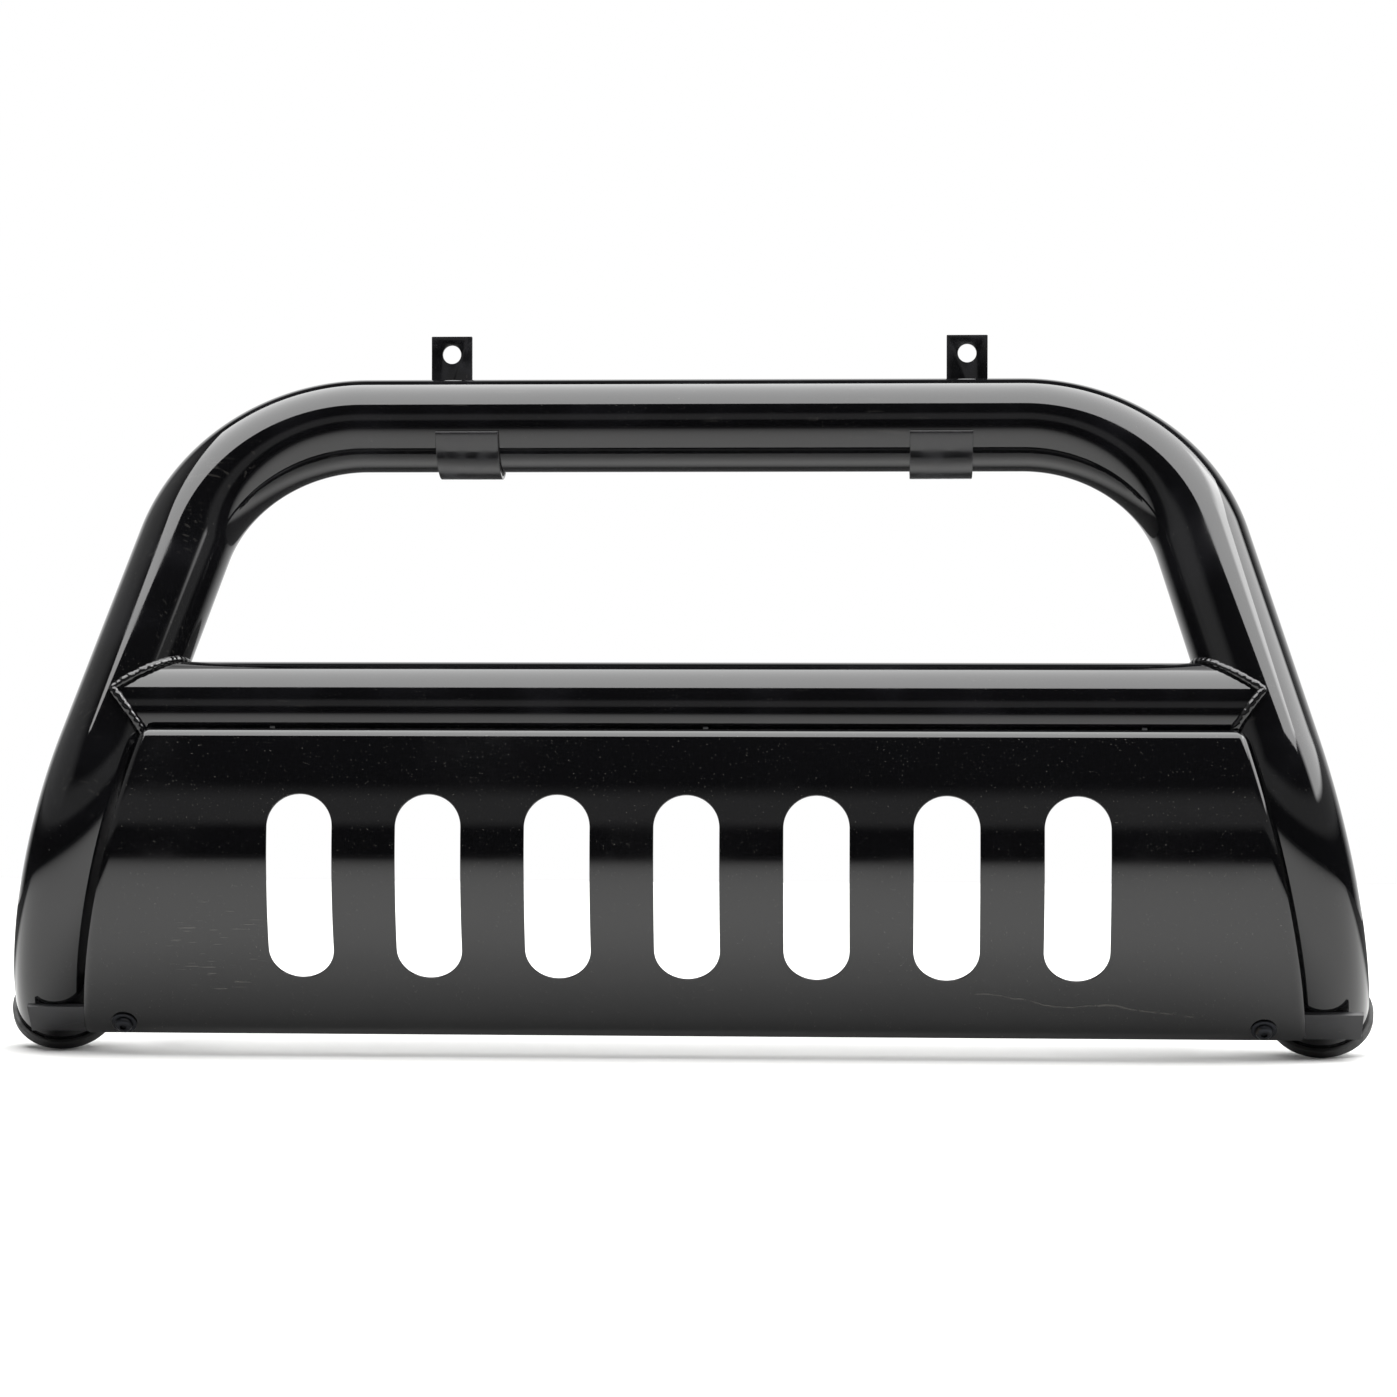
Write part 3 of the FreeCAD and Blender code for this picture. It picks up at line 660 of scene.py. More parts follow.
class Finishes:
    """One material of each finish, shared by every piece that has it."""

    def __init__(self) -> None:
        """Make the materials."""
        self.gloss = GlossPowderCoat("gloss_black_powder_coat", "060607").material()
        self.plate = ScuffedPlateCoat("scuffed_gloss_black_plate_coat", "060607").material()
        self.weld = GlossPowderCoat("coated_weld_bead", "070708", roughness=0.07, smudge_roughness=0.16,
                                    peel_size=4.0 * MM, peel_height=0.04 * MM).material()
        self.satin = SatinCoat("satin_black_coat", "0f0f11").material()
        self.semi_gloss = SatinCoat("semi_gloss_black_coat", "0a0a0b", roughness=0.13,
                                    pebble_height=0.004 * MM).material()
        self.cap = MouldedPolyethylene("moulded_black_polyethylene", "111111").material()
        self.rubber = SheetRubber("black_epdm_strip", "0f0f0f").material()
        self.black_steel = PlatedSteel("black_zinc_plated_steel", "2c2d30", "4a4339", 0.34).material()
        self.zinc = PlatedSteel("bright_zinc_plated_steel", "b4b8bc").material()

    def dress(self, piece: Object, material: Material, slot: str,
              *nodes: str) -> Object:
        """Give a new piece its material and body, and hide what it stands for.

        Args:
            piece: the finished piece.
            material: what it is made of.
            slot: not used.
            nodes: the CAD nodes that it replaces.

        Returns:
            The piece.
        """
        piece.data.materials.clear()
        piece.data.materials.append(material)
        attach(piece, BODY)
        if nodes:
            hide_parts(*nodes)
        LOG.info("made %s for %s, %d faces", piece.name, nodes or "detail", len(piece.data.polygons))
        return piece

    def dress_node(self, node: str, material: Material) -> None:
        """Give a CAD node a better material."""
        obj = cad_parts[node]
        for index in range(len(obj.material_slots)):
            obj.material_slots[index].material = material
        LOG.info("dressed node %s", node)


# ---------------------------------------------------------------- the line of the hoop
@dataclass(frozen=True)
class HoopLine:
    """The hoop's centreline in the upright frame: X across, Z up, the origin on the top tube's axis."""

    tube_radius: float = 38.1 * MM
    wall: float = 2.0 * MM
    lean: float = math.radians(26.0)
    half_top: float = 269.0 * MM
    corner_radius: float = 147.0 * MM
    splay: float = math.radians(14.25)
    leg: float = 190.0 * MM
    lower_radius: float = 180.0 * MM
    lower_turn: float = math.radians(70.0)
    tail: float = 11.0 * MM
    crossbar_above_bend: float = 36.0 * MM

    @property
    def corner_turn(self) -> float:
        """How far the corner bends turn, from the top tube into the leg."""
        return math.pi / 2 - self.splay

    @property
    def down_leg(self) -> Vector:
        """Direction of the right leg, downwards."""
        return Vector((math.sin(self.splay), 0, -math.cos(self.splay)))

    @property
    def across_leg(self) -> Vector:
        """Direction square to the right leg, outwards."""
        return Vector((math.cos(self.splay), 0, math.sin(self.splay)))

    @property
    def down_tail(self) -> Vector:
        """Direction of the right tail, out of its open end."""
        return self.down_leg * math.cos(self.lower_turn) + Vector((0, 1, 0)) * math.sin(self.lower_turn)

    @property
    def leg_top(self) -> Vector:
        """Where the right corner bend ends and the leg starts."""
        turn = self.corner_turn
        centre = Vector((self.half_top, 0, -self.corner_radius))
        return centre + Vector((math.sin(turn), 0, math.cos(turn))) * self.corner_radius

    @property
    def leg_bottom(self) -> Vector:
        """Where the right leg ends and the lower bend starts."""
        return self.leg_top + self.down_leg * self.leg

    @property
    def tail_end(self) -> Vector:
        """Middle of the right tail's open end."""
        along = self.down_leg * math.sin(self.lower_turn)
        back = Vector((0, 1, 0)) * (1 - math.cos(self.lower_turn))
        return self.leg_bottom + (along + back) * self.lower_radius + self.down_tail * self.tail

    @property
    def crossbar_drop(self) -> float:
        """How far the crossbar's axis is below the top tube's."""
        return -self.leg_bottom.z - self.crossbar_above_bend

    @property
    def crossbar_end(self) -> Vector:
        """Where the crossbar's axis meets the right leg's."""
        return self.leg_top + self.down_leg * ((self.leg_top.z + self.crossbar_drop) / math.cos(self.splay))

    def stand(self) -> Matrix:
        """Place of the upright frame, leaned back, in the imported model's frame."""
        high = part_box("main_hoop")[1]
        axis = Vector((0, high.y - self.tube_radius, high.z - self.tube_radius))
        return Matrix.Translation(axis) @ Matrix.Rotation(-self.lean, 4, "X")


def facing(position: Vector, x_direction: Vector, z_direction: Vector) -> Matrix:
    """Place of a shape whose X and Z axes point along two directions that are square to each other."""
    y_direction = z_direction.cross(x_direction)
    turn = Matrix((x_direction, y_direction, z_direction)).transposed().to_4x4()
    return Matrix.Translation(position) @ turn


def evenly(points: list[Vector], spacing: float) -> list[Vector]:
    """Pick points along a fine line so that they are about one spacing apart."""
    picked = [points[0]]
    travelled = 0.0
    for before, here in zip(points, points[1:]):
        travelled += (here - before).length
        if travelled >= spacing:
            picked.append(here)
            travelled = 0.0
    return picked


# ---------------------------------------------------------------- tubes and their welds
@dataclass(frozen=True)
class TubeFrame:
    """The bent hoop, the crossbar between its legs and the beads that join them."""

    line: HoopLine
    finishes: Finishes
    around: int = 96
    bend_steps: int = 48
    root_gap: float = 0.4 * MM
    bead_radius: float = 3.3 * MM
    bead_ripple: float = 0.35 * MM
    bead_pitch: float = 5.5 * MM
    bead_step: float = 0.7 * MM
    bead_stand_out: float = 1.4 * MM

    def build(self) -> None:
        """Make and dress the four pieces."""
        self.hoop()
        self.crossbar()
        for side in Side:
            self.weld(side)

    def wall_and_shade(self, obj: Object) -> None:
        """Give an open tube its wall and smooth shading, and lean it back."""
        tidy_mesh(obj)
        apply_modifier(obj, "SOLIDIFY", thickness=self.line.wall, offset=-1.0, use_even_offset=True)
        smooth(obj)
        move_mesh(obj, self.line.stand())

    def hoop(self) -> None:
        """One tube bent four times: made from the middle to the right tail, then mirrored."""
        line = self.line
        deselect()
        bpy.ops.mesh.primitive_circle_add(vertices=self.around, radius=line.tube_radius,
                                          rotation=(0, math.pi / 2, 0))
        obj = take_primitive("hoop_tube")
        edit_all()
        bpy.ops.mesh.extrude_region_move(TRANSFORM_OT_translate={"value": (line.half_top, 0, 0)})
        bpy.ops.mesh.spin(steps=self.bend_steps, angle=-line.corner_turn, axis=(0, 1, 0),
                          center=(line.half_top, 0, -line.corner_radius))
        bpy.ops.mesh.extrude_region_move(TRANSFORM_OT_translate={"value": line.down_leg * line.leg})
        bpy.ops.mesh.spin(steps=self.bend_steps, angle=-line.lower_turn, axis=line.across_leg,
                          center=line.leg_bottom + Vector((0, line.lower_radius, 0)))
        bpy.ops.mesh.extrude_region_move(TRANSFORM_OT_translate={"value": line.down_tail * line.tail})
        end_edit()
        apply_modifier(obj, "MIRROR", use_axis=(True, False, False), merge_threshold=0.01 * MM)
        self.wall_and_shade(obj)
        self.finishes.dress(obj, self.finishes.gloss, "gloss_black_powder_coat", "main_hoop")

    def cope(self, across: float, up: float, radius: float) -> float:
        """Distance from the middle at which a line along the crossbar meets the leg's surface.

        Args:
            across: the line's place in front of or behind the crossbar's axis.
            up: its height above that axis.
            radius: the radius that it meets.

        Returns:
            The distance along X on the right side.
        """
        reach = math.sqrt(max(radius ** 2 - across ** 2, 0))
        splay = self.line.splay
        return self.line.crossbar_end.x - (reach + up * math.sin(splay)) / math.cos(splay)

    def crossbar(self) -> None:
        """A straight tube with both ends coped to the legs."""
        line = self.line
        deselect()
        bpy.ops.mesh.primitive_cylinder_add(vertices=self.around, radius=line.tube_radius, depth=1.0,
                                            end_fill_type="NOTHING", rotation=(0, math.pi / 2, 0))
        obj = take_primitive("crossbar_tube")
        for vertex in obj.data.vertices:
            reach = self.cope(vertex.co.y, vertex.co.z, line.tube_radius + self.root_gap)
            vertex.co.x = math.copysign(reach, vertex.co.x)
            vertex.co.z -= line.crossbar_drop
        self.wall_and_shade(obj)
        self.finishes.dress(obj, self.finishes.gloss, "gloss_black_powder_coat", "crossbar")

    def weld(self, side: Side) -> None:
        """The bead that follows the seam right round one end of the crossbar."""
        line = self.line
        seam = []
        for step in range(1441):
            angle = math.tau * step / 1440
            across, up = line.tube_radius * math.sin(angle), line.tube_radius * math.cos(angle)
            on_seam = Vector((self.cope(across, up, line.tube_radius), across, up))
            from_leg = on_seam - Vector((line.crossbar_end.x, 0, 0))
            from_leg -= line.down_leg * from_leg.dot(line.down_leg)
            outwards = (from_leg.normalized() + Vector((0, across, up)).normalized()).normalized()
            on_seam += outwards * self.bead_stand_out
            seam.append(on_seam - Vector((0, 0, line.crossbar_drop)))
        obj = bead("weld_bead_" + side.word, evenly(seam, self.bead_step), self.bead_radius,
                   self.bead_ripple, self.bead_pitch, seed=7 + side.value)
        if side is Side.LEFT:
            move_mesh(obj, MIRROR)
        move_mesh(obj, line.stand())
        self.finishes.dress(obj, self.finishes.weld, "coated_weld_bead", "crossbar_weld_" + side.word)


# ---------------------------------------------------------------- end caps
@dataclass(frozen=True)
class EndCaps:
    """Push-in plastic caps over the tails' open ends."""

    line: HoopLine
    finishes: Finishes
    lip: float = 3.5 * MM
    skirt: float = 5.0 * MM
    face: float = 4.6 * MM
    dome: float = 3.0 * MM
    crown: float = 1.0 * MM
    fit_gap: float = 0.15 * MM
    stem: float = 18.0 * MM
    stem_wall: float = 2.5 * MM
    rib: float = 1.2 * MM
    rib_count: int = 3
    rib_spacing: float = 5.0 * MM

    def profile(self) -> list[tuple[float, float]]:
        """Half-section of the cap, from the crown round the skirt and stem to the hollow's floor."""
        lip = self.line.tube_radius + self.lip
        bore = self.line.tube_radius + self.fit_gap
        stem = self.line.tube_radius - self.line.wall - self.fit_gap - self.rib
        flat = lip - self.dome
        points = [(flat * step / 8, self.face + self.crown * (1 - (step / 8) ** 2)) for step in range(8)]
        for step in range(7):
            angle = math.pi / 2 * (1 - step / 6)
            points.append((flat + self.dome * math.cos(angle),
                           self.face - self.dome + self.dome * math.sin(angle)))
        points += [(lip, 1 * MM - self.skirt), (lip - 0.3 * MM, 0.3 * MM - self.skirt),
                   (lip - 1 * MM, -self.skirt), (bore, -self.skirt), (bore, 0), (stem, 0)]
        for rib in reversed(range(self.rib_count)):
            height = 2 * MM - self.stem + rib * self.rib_spacing
            points += [(stem, height + 1 * MM), (stem + self.rib, height), (stem, height - 1 * MM)]
        return points + [(stem, -self.stem), (stem - self.stem_wall, -self.stem),
                         (stem - self.stem_wall, 0), (0, 0)]

    def build(self) -> None:
        """Make and dress both caps."""
        line = self.line
        right = lathe("tail_cap_right", self.profile(), 96)
        smooth(right, 40)
        move_mesh(right, facing(line.tail_end, line.across_leg, line.down_tail))
        left = copy_of(right, "tail_cap_left", MIRROR)
        for cap, side in ((left, Side.LEFT), (right, Side.RIGHT)):
            move_mesh(cap, line.stand())
            self.finishes.dress(cap, self.finishes.cap, "black_cap_plastic", "end_cap_" + side.word)


# ---------------------------------------------------------------- fasteners
@dataclass(frozen=True)
class Fasteners:
    """The bolts, screws, studs, nuts and washers, each made once with its seat at the origin."""

    diameter: float = 8.0 * MM
    pitch: float = 1.25 * MM
    clearance: float = 0.5 * MM
    across_flats: float = 13.0 * MM
    head_height: float = 5.3 * MM
    nut_height: float = 6.8 * MM
    washer: float = 16.0 * MM
    washer_thickness: float = 1.6 * MM
    chamfer: float = 0.9 * MM

    def thread(self, low: float, high: float) -> list[tuple[float, float]]:
        """Outline of a threaded shank from its low end up to its high end."""
        radius = self.diameter / 2
        depth = 0.55 * self.pitch
        points = [(0, low), (radius - depth, low)]
        for turn in range(int((high - low) / self.pitch)):
            foot = low + turn * self.pitch
            points += [(radius, foot + 0.45 * self.pitch), (radius, foot + 0.55 * self.pitch),
                       (radius - depth, foot + self.pitch)]
        return points + [(radius - depth, high), (0, high)]

    def hexagon(self, name: str, low: float, high: float, chamfer_low: bool) -> Object:
        """A hexagon with turned chamfers on its top, and if asked on its bottom too."""
        corner = self.across_flats / math.sqrt(3)
        flat = self.across_flats / 2 * 0.96
        drop = self.chamfer
        deselect()
        bpy.ops.mesh.primitive_cylinder_add(vertices=6, radius=corner, depth=high - low,
                                            location=(0, 0, (low + high) / 2))
        block = take_primitive(name)
        foot = [(0, low), (flat, low), (corner + 1e-4, low + drop)] if chamfer_low else [
            (0, low - drop), (corner + 1e-4, low - drop)]
        turned = lathe("turning", foot + [(corner + 1e-4, high - drop), (flat, high), (0, high)], 72)
        apply_modifier(block, "BOOLEAN", operation="INTERSECT", solver="EXACT", object=turned)
        bpy.data.objects.remove(turned)
        tidy_mesh(block)
        round_edges(block, 0.12 * MM, 2, 28)
        return block

    def hex_bolt(self, name: str, length: float) -> Object:
        """Hexagon bolt: the head above its seat, the threaded shank below."""
        head = self.hexagon(name, 0, self.head_height, False)
        shank = lathe(name + "_shank", self.thread(-length, 0), 32)
        smooth(shank, 25)
        return join([head, shank], name)

    def nut(self, name: str) -> Object:
        """Hexagon nut that stands on its seat, with a threaded bore."""
        block = self.hexagon(name, 0, self.nut_height, True)
        cut_away(block, round_cutter(Vector((0, 0, self.nut_height / 2)), self.diameter / 2,
                                     Vector((0, 0, 1)), 3 * self.nut_height, 48))
        smooth(block, 30)
        return block

    def ring(self, name: str, radius: float) -> Object:
        """Punched flat washer that lies on its seat."""
        hole = self.diameter / 2 + self.clearance
        top, soft = self.washer_thickness, 0.3 * MM
        obj = lathe(name, [(hole, soft), (hole + soft, 0), (radius - soft, 0), (radius, soft),
                           (radius, top - soft), (radius - soft, top), (hole + soft, top),
                           (hole, top - soft), (hole, soft)], 64)
        smooth(obj, 50)
        return obj

    def button_screw(self, name: str, head: float, height: float, socket: float, depth: float,
                     length: float) -> Object:
        """Round-headed screw with a hexagon socket.

        Args:
            name: the piece's name.
            head: the head's diameter.
            height: the head's height.
            socket: the socket's width across its flats.
            depth: the socket's depth.
            length: the shank's length.

        Returns:
            The screw, its head above its seat and its shank below.
        """
        radius, flat, soft = head / 2, socket * 0.72, 0.3 * MM
        points = [(0, 0), (radius - soft, 0), (radius, soft)]
        for step in range(1, 13):
            angle = math.pi / 2 * step / 12
            points.append((flat + (radius - flat) * math.cos(angle),
                           soft + (height - soft) * math.sin(angle)))
        dome = lathe(name, points + [(0, height)], 64)
        deselect()
        bpy.ops.mesh.primitive_cylinder_add(vertices=6, radius=socket / math.sqrt(3), depth=2 * depth,
                                            location=(0, 0, height))
        cut_away(dome, take_primitive("socket_cutter"))
        round_edges(dome, 0.15 * MM, 2, 40)
        shank = lathe(name + "_shank", self.thread(-length, 0), 32)
        smooth(shank, 25)
        return join([dome, shank], name)

    def flange_nut(self, name: str, flange: float, thickness: float) -> Object:
        """Hexagon nut on its own flange, the flange on its seat."""
        nut = self.hexagon(name, thickness * 0.6, self.nut_height, False)
        collar = lathe(name + "_flange", [(0, 0), (flange / 2 - 0.2 * MM, 0), (flange / 2, 0.3 * MM),
                                          (flange / 2 - 0.4 * MM, 0.8 * MM),
                                          (self.across_flats / 2, thickness * 1.25),
                                          (0, thickness * 1.25)], 64)
        smooth(collar, 40)
        obj = join([nut, collar], name)
        return obj

    @staticmethod
    def spread(model: Object, places: list[Matrix], name: str) -> Object:
        """Copy one fastener to every place and join the copies into one piece."""
        copies = [copy_of(model, f"{name}_{index}", place) for index, place in enumerate(places)]
        bpy.data.objects.remove(model)
        return join(copies, name)


# ---------------------------------------------------------------- skid plate
@dataclass(frozen=True)
class SkidPlate:
    """The slotted sheet rolled between the legs, with the pieces that hold it."""

    line: HoopLine
    finishes: Finishes
    fasteners: Fasteners
    thickness: float = 2.5 * MM
    proud: float = 0.4 * MM
    bend_inside_legs: float = 5.5 * MM
    below_crossbar: float = 2.9 * MM
    stops_short: float = 8.0 * MM
    roll_radius: float = 11.0 * MM
    roll_turn: float = math.radians(64.0)
    edge_inboard: float = 28.8 * MM
    corner_radius: float = 6.0 * MM
    side_shift: float = 4.8 * MM
    edge_softness: float = 0.6 * MM
    curl_width: float = 6.0 * MM
    curl_radius: float = 9.0 * MM
    flat_half_width: float = 479.0 * MM
    straight_half_width: float = 340.0 * MM
    slot_count: int = 7
    slot_pitch: float = 100.0 * MM
    slot_width: float = 50.8 * MM
    slot_length: float = 148.0 * MM
    slot_top: float = 47.0 * MM
    screw_from_edge: float = 32.6 * MM
    screw_from_bottom: float = 12.0 * MM
    screw_head: float = 14.0 * MM
    screw_height: float = 4.4 * MM
    screw_socket: float = 5.0 * MM
    screw_socket_depth: float = 2.6 * MM
    screw_shank: float = 20.0 * MM
    screw_washer: float = 20.0 * MM
    flange: float = 17.9 * MM
    flange_thickness: float = 1.8 * MM
    tab_thickness: float = 4.0 * MM
    seat_gap: float = 0.6 * MM
    hanger_spacing: float = 340.0 * MM
    stud_distance: float = 20.0 * MM
    stud_length: float = 18.0 * MM

    @property
    def stand_off(self) -> float:
        """How far the outer face stands in front of the tubes' axes."""
        return self.line.tube_radius + self.proud

    @property
    def bend_radius(self) -> float:
        """Radius of the sheet's outer face."""
        return self.line.lower_radius + self.stand_off - self.bend_inside_legs

    @property
    def length(self) -> float:
        """Length of the sheet down its outer face, from the tangent line under the roll."""
        return self.bend_radius * self.line.lower_turn - self.stops_short

    @property
    def tangent_height(self) -> float:
        """Height of the line where the roll meets the sheet's main curve."""
        return -self.line.crossbar_drop - self.line.tube_radius - self.below_crossbar

    def section(self, down: float, depth: float) -> tuple[float, float]:
        """Y and Z of a point of the section, this far down the sheet and this deep under its outer face."""
        if down >= 0:
            angle, reach = down / self.bend_radius, self.bend_radius - depth
            return (self.bend_radius - self.stand_off - reach * math.cos(angle),
                    self.tangent_height - reach * math.sin(angle))
        angle, reach = -down / self.roll_radius, self.roll_radius - depth
        return (self.roll_radius - self.stand_off - reach * math.cos(angle),
                self.tangent_height + reach * math.sin(angle))

    def edge_at(self, height: float) -> float:
        """Distance of the sheet's side edge from its middle at this height: it runs beside the leg."""
        line = self.line
        leg = line.leg_bottom.x + (line.leg_bottom.z - height) * math.tan(line.splay)
        return leg - self.edge_inboard / math.cos(line.splay)

    def bent(self, flat: Vector) -> Vector:
        """Where a point of the flat blank ends up.

        Args:
            flat: across the blank, into its thickness, and up it from the tangent line.

        Returns:
            The point in the upright frame.
        """
        y, z = self.section(-flat.z, flat.y)
        edge = self.edge_at(z)
        reach = abs(flat.x)
        if reach > self.straight_half_width:
            share = (reach - self.straight_half_width) / (self.flat_half_width - self.straight_half_width)
            reach = self.straight_half_width + share * (edge - self.straight_half_width)
        inside = self.curl_width - (edge - reach)
        if inside > 0:
            curl = self.curl_radius - math.sqrt(self.curl_radius ** 2 - inside ** 2)
            y, z = self.section(-flat.z, flat.y + curl)
        return Vector((math.copysign(reach, flat.x) + self.side_shift, y, z))

    def on_sheet(self, across: float, down: float, depth: float = 0.0) -> Matrix:
        """Place on the sheet whose Z points out of it and whose X runs across it."""
        y, z = self.section(down, depth)
        angle = down / self.bend_radius
        normal = Vector((0, -math.cos(angle), -math.sin(angle)))
        return facing(Vector((across + self.side_shift, y, z)), Vector((1, 0, 0)), normal)

    def screw_places(self, depth: float = 0.0) -> list[Matrix]:
        """Places of the two lower screws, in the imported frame."""
        down = self.length - self.screw_from_bottom
        across = self.edge_at(self.section(down, 0)[1]) - self.screw_from_edge
        return [self.line.stand() @ self.on_sheet(side.value * across, down, depth) for side in Side]

    def stud_places(self, depth: float) -> list[Matrix]:
        """Places of the three studs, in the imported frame, their Z pointing back."""
        turned = Matrix.Rotation(math.pi, 4, "X")
        return [self.line.stand() @ self.on_sheet(index * self.hanger_spacing, self.stud_distance, depth)
                @ turned for index in (-1, 0, 1)]

    def slot_outline(self, across: float) -> list[Vector]:
        """Outline of one round-ended slot in the flat blank."""
        radius = self.slot_width / 2
        upper = -self.slot_top - radius
        lower = -self.slot_top - self.slot_length + radius
        front = -self.thickness
        points = []
        for centre, start in ((upper, 0.0), (lower, math.pi)):
            for step in range(49):
                angle = start + math.pi * step / 48
                points.append(Vector((across + radius * math.cos(angle), front,
                                      centre + radius * math.sin(angle))))
        return points

    def blank(self) -> Object:
        """The flat blank: cut corners, punched slots, soft edges, and lines where it will bend."""
        roll = self.roll_radius * self.roll_turn
        height = roll + self.length
        deselect()
        bpy.ops.mesh.primitive_cube_add(size=1.0, location=(0, self.thickness / 2, (roll - self.length) / 2),
                                        scale=(2 * self.flat_half_width, self.thickness, height))
        obj = take_primitive("slotted_plate")
        bevel_across(obj, self.corner_radius, 8, top=0.0)
        cutters = []
        for index in range(self.slot_count):
            across = (index - (self.slot_count - 1) / 2) * self.slot_pitch
            cutters.append(extruded(f"slot_{index}", self.slot_outline(across),
                                    Vector((0, 3 * self.thickness, 0))))
        cut_away(obj, join(cutters, "slots"))
        apply_modifier(obj, "BEVEL", width=self.edge_softness, segments=3, limit_method="ANGLE",
                       angle_limit=math.radians(35))
        self.score(obj)
        return obj

    def score(self, obj: Object) -> None:
        """Cut the blank along the lines where it bends: across it, and beside its curled edges."""
        activate(obj)
        bpy.ops.object.mode_set(mode="EDIT")
        levels = [-self.length * step / 72 for step in range(0, 72)]
        levels += [self.roll_radius * self.roll_turn * step / 10 for step in range(1, 10)]
        sides = [sign * (self.flat_half_width - offset * MM)
                 for sign in (-1, 1) for offset in (1, 2, 3, 4, 5.5, 7, 9, 12)]
        sides += [sign * self.straight_half_width for sign in (-1, 1)]
        cuts = [((0, 0, level), (0, 0, 1)) for level in levels]
        cuts += [((side, 0, 0), (1, 0, 0)) for side in sides]
        for place, direction in cuts:
            bpy.ops.mesh.select_all(action="SELECT")
            bpy.ops.mesh.bisect(plane_co=place, plane_no=direction)
        end_edit()

    def bend_blank(self, obj: Object) -> None:
        """Bend the blank to its shape, carrying its exact surface directions along."""
        smooth(obj, 40)
        mesh = obj.data
        flat_side = {}
        for face in mesh.polygons:
            if abs(face.normal.y) > 0.999:
                for index in face.vertices:
                    flat_side[index] = Vector((0, math.copysign(1, face.normal.y), 0))
        corners = [Vector(corner.vector) for corner in mesh.corner_normals]
        blank = [vertex.co.copy() for vertex in mesh.vertices]
        step = 0.02 * MM
        frames = []
        for point in blank:
            sides = []
            for axis in range(3):
                ahead, behind = point.copy(), point.copy()
                ahead[axis] += step
                behind[axis] -= step
                sides.append((self.bent(ahead) - self.bent(behind)) / (2 * step))
            frames.append(Matrix(sides).inverted())
        normals = []
        for index, loop in enumerate(mesh.loops):
            flat_normal = flat_side.get(loop.vertex_index, corners[index])
            normals.append((frames[loop.vertex_index] @ flat_normal).normalized())
        for vertex, point in zip(mesh.vertices, blank):
            vertex.co = self.bent(point)
        mesh.update()
        mesh.normals_split_custom_set(normals)
        move_mesh_with_normals(obj, self.line.stand())

    def build(self) -> None:
        """Make and dress the plate and everything that holds it."""
        plate = self.blank()
        self.bend_blank(plate)
        self.finishes.dress(plate, self.finishes.plate, "gloss_black_plate_coat", "skid_plate")
        self.hold_low()
        self.hold_high()
        for node in ("plate_hanger_left", "plate_hanger_centre", "plate_hanger_right",
                     "lower_tab_left", "lower_tab_right"):
            softened(node, self.finishes)

    def hold_low(self) -> None:
        """Button screws, washers and flange nuts at the lower corners."""
        make, dress = self.fasteners, self.finishes.dress
        screw = make.button_screw("screw", self.screw_head, self.screw_height, self.screw_socket,
                                  self.screw_socket_depth, self.screw_shank)
        screws = make.spread(screw, self.screw_places(-make.washer_thickness), "button_screws")
        dress(screws, self.finishes.black_steel, "black_zinc_steel", "lower_screws")
        washers = make.spread(make.ring("washer", self.screw_washer / 2), self.screw_places(),
                              "screw_washers")
        dress(washers, self.finishes.black_steel, "black_zinc_steel", "lower_washers")
        behind = self.thickness + self.seat_gap + self.tab_thickness
        turned = Matrix.Rotation(math.pi, 4, "X")
        places = [place @ turned for place in self.screw_places(behind)]
        nuts = make.spread(make.flange_nut("nut", self.flange, self.flange_thickness), places, "flange_nuts")
        dress(nuts, self.finishes.zinc, "zinc_steel", "lower_nuts")

    def hold_high(self) -> None:
        """Welded studs with washers and nuts behind the hangers."""
        make, dress = self.fasteners, self.finishes.dress
        shank = lathe("stud", make.thread(0, self.stud_length), 32)
        smooth(shank, 25)
        sagitta = (make.diameter / 2) ** 2 / (2 * (self.bend_radius - self.thickness))
        studs = make.spread(shank, self.stud_places(self.thickness + sagitta), "welded_studs")
        dress(studs, self.finishes.zinc, "zinc_steel", "plate_studs")
        seat = self.thickness + self.seat_gap + self.tab_thickness
        washers = make.spread(make.ring("washer", make.washer / 2), self.stud_places(seat), "hanger_washers")
        dress(washers, self.finishes.zinc, "zinc_steel", "stud_washers")
        nuts = make.spread(make.nut("nut"), self.stud_places(seat + make.washer_thickness), "hanger_nuts")
        dress(nuts, self.finishes.zinc, "zinc_steel", "stud_nuts")


def move_mesh_with_normals(obj: Object, matrix: Matrix) -> None:
    """Move a mesh by a turn and a shift, turning its own surface directions with it."""
    mesh = obj.data
    turn = matrix.to_3x3()
    normals = [turn @ Vector(corner.vector) for corner in mesh.corner_normals]
    mesh.transform(matrix)
    mesh.update()
    mesh.normals_split_custom_set(normals)


def softened(node: str, finishes: Finishes, width: float = 0.5 * MM) -> Object:
    """A bracket with its cut edges eased, made from a merged copy of its node.

    Args:
        node: the CAD node that it stands for.
        finishes: where its finish comes from.
        width: how much of each edge is taken off.

    Returns:
        The dressed piece.
    """
    obj = copy_of(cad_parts[node], node + "_bracket", Matrix.Identity(4))
    obj.parent = None
    for key in list(obj.keys()):
        del obj[key]
    tidy_mesh(obj)
    apply_modifier(obj, "DECIMATE", decimate_type="DISSOLVE", angle_limit=math.radians(0.5))
    round_edges(obj, width, 2, 30)
    return finishes.dress(obj, finishes.satin, "satin_black_coat", node)


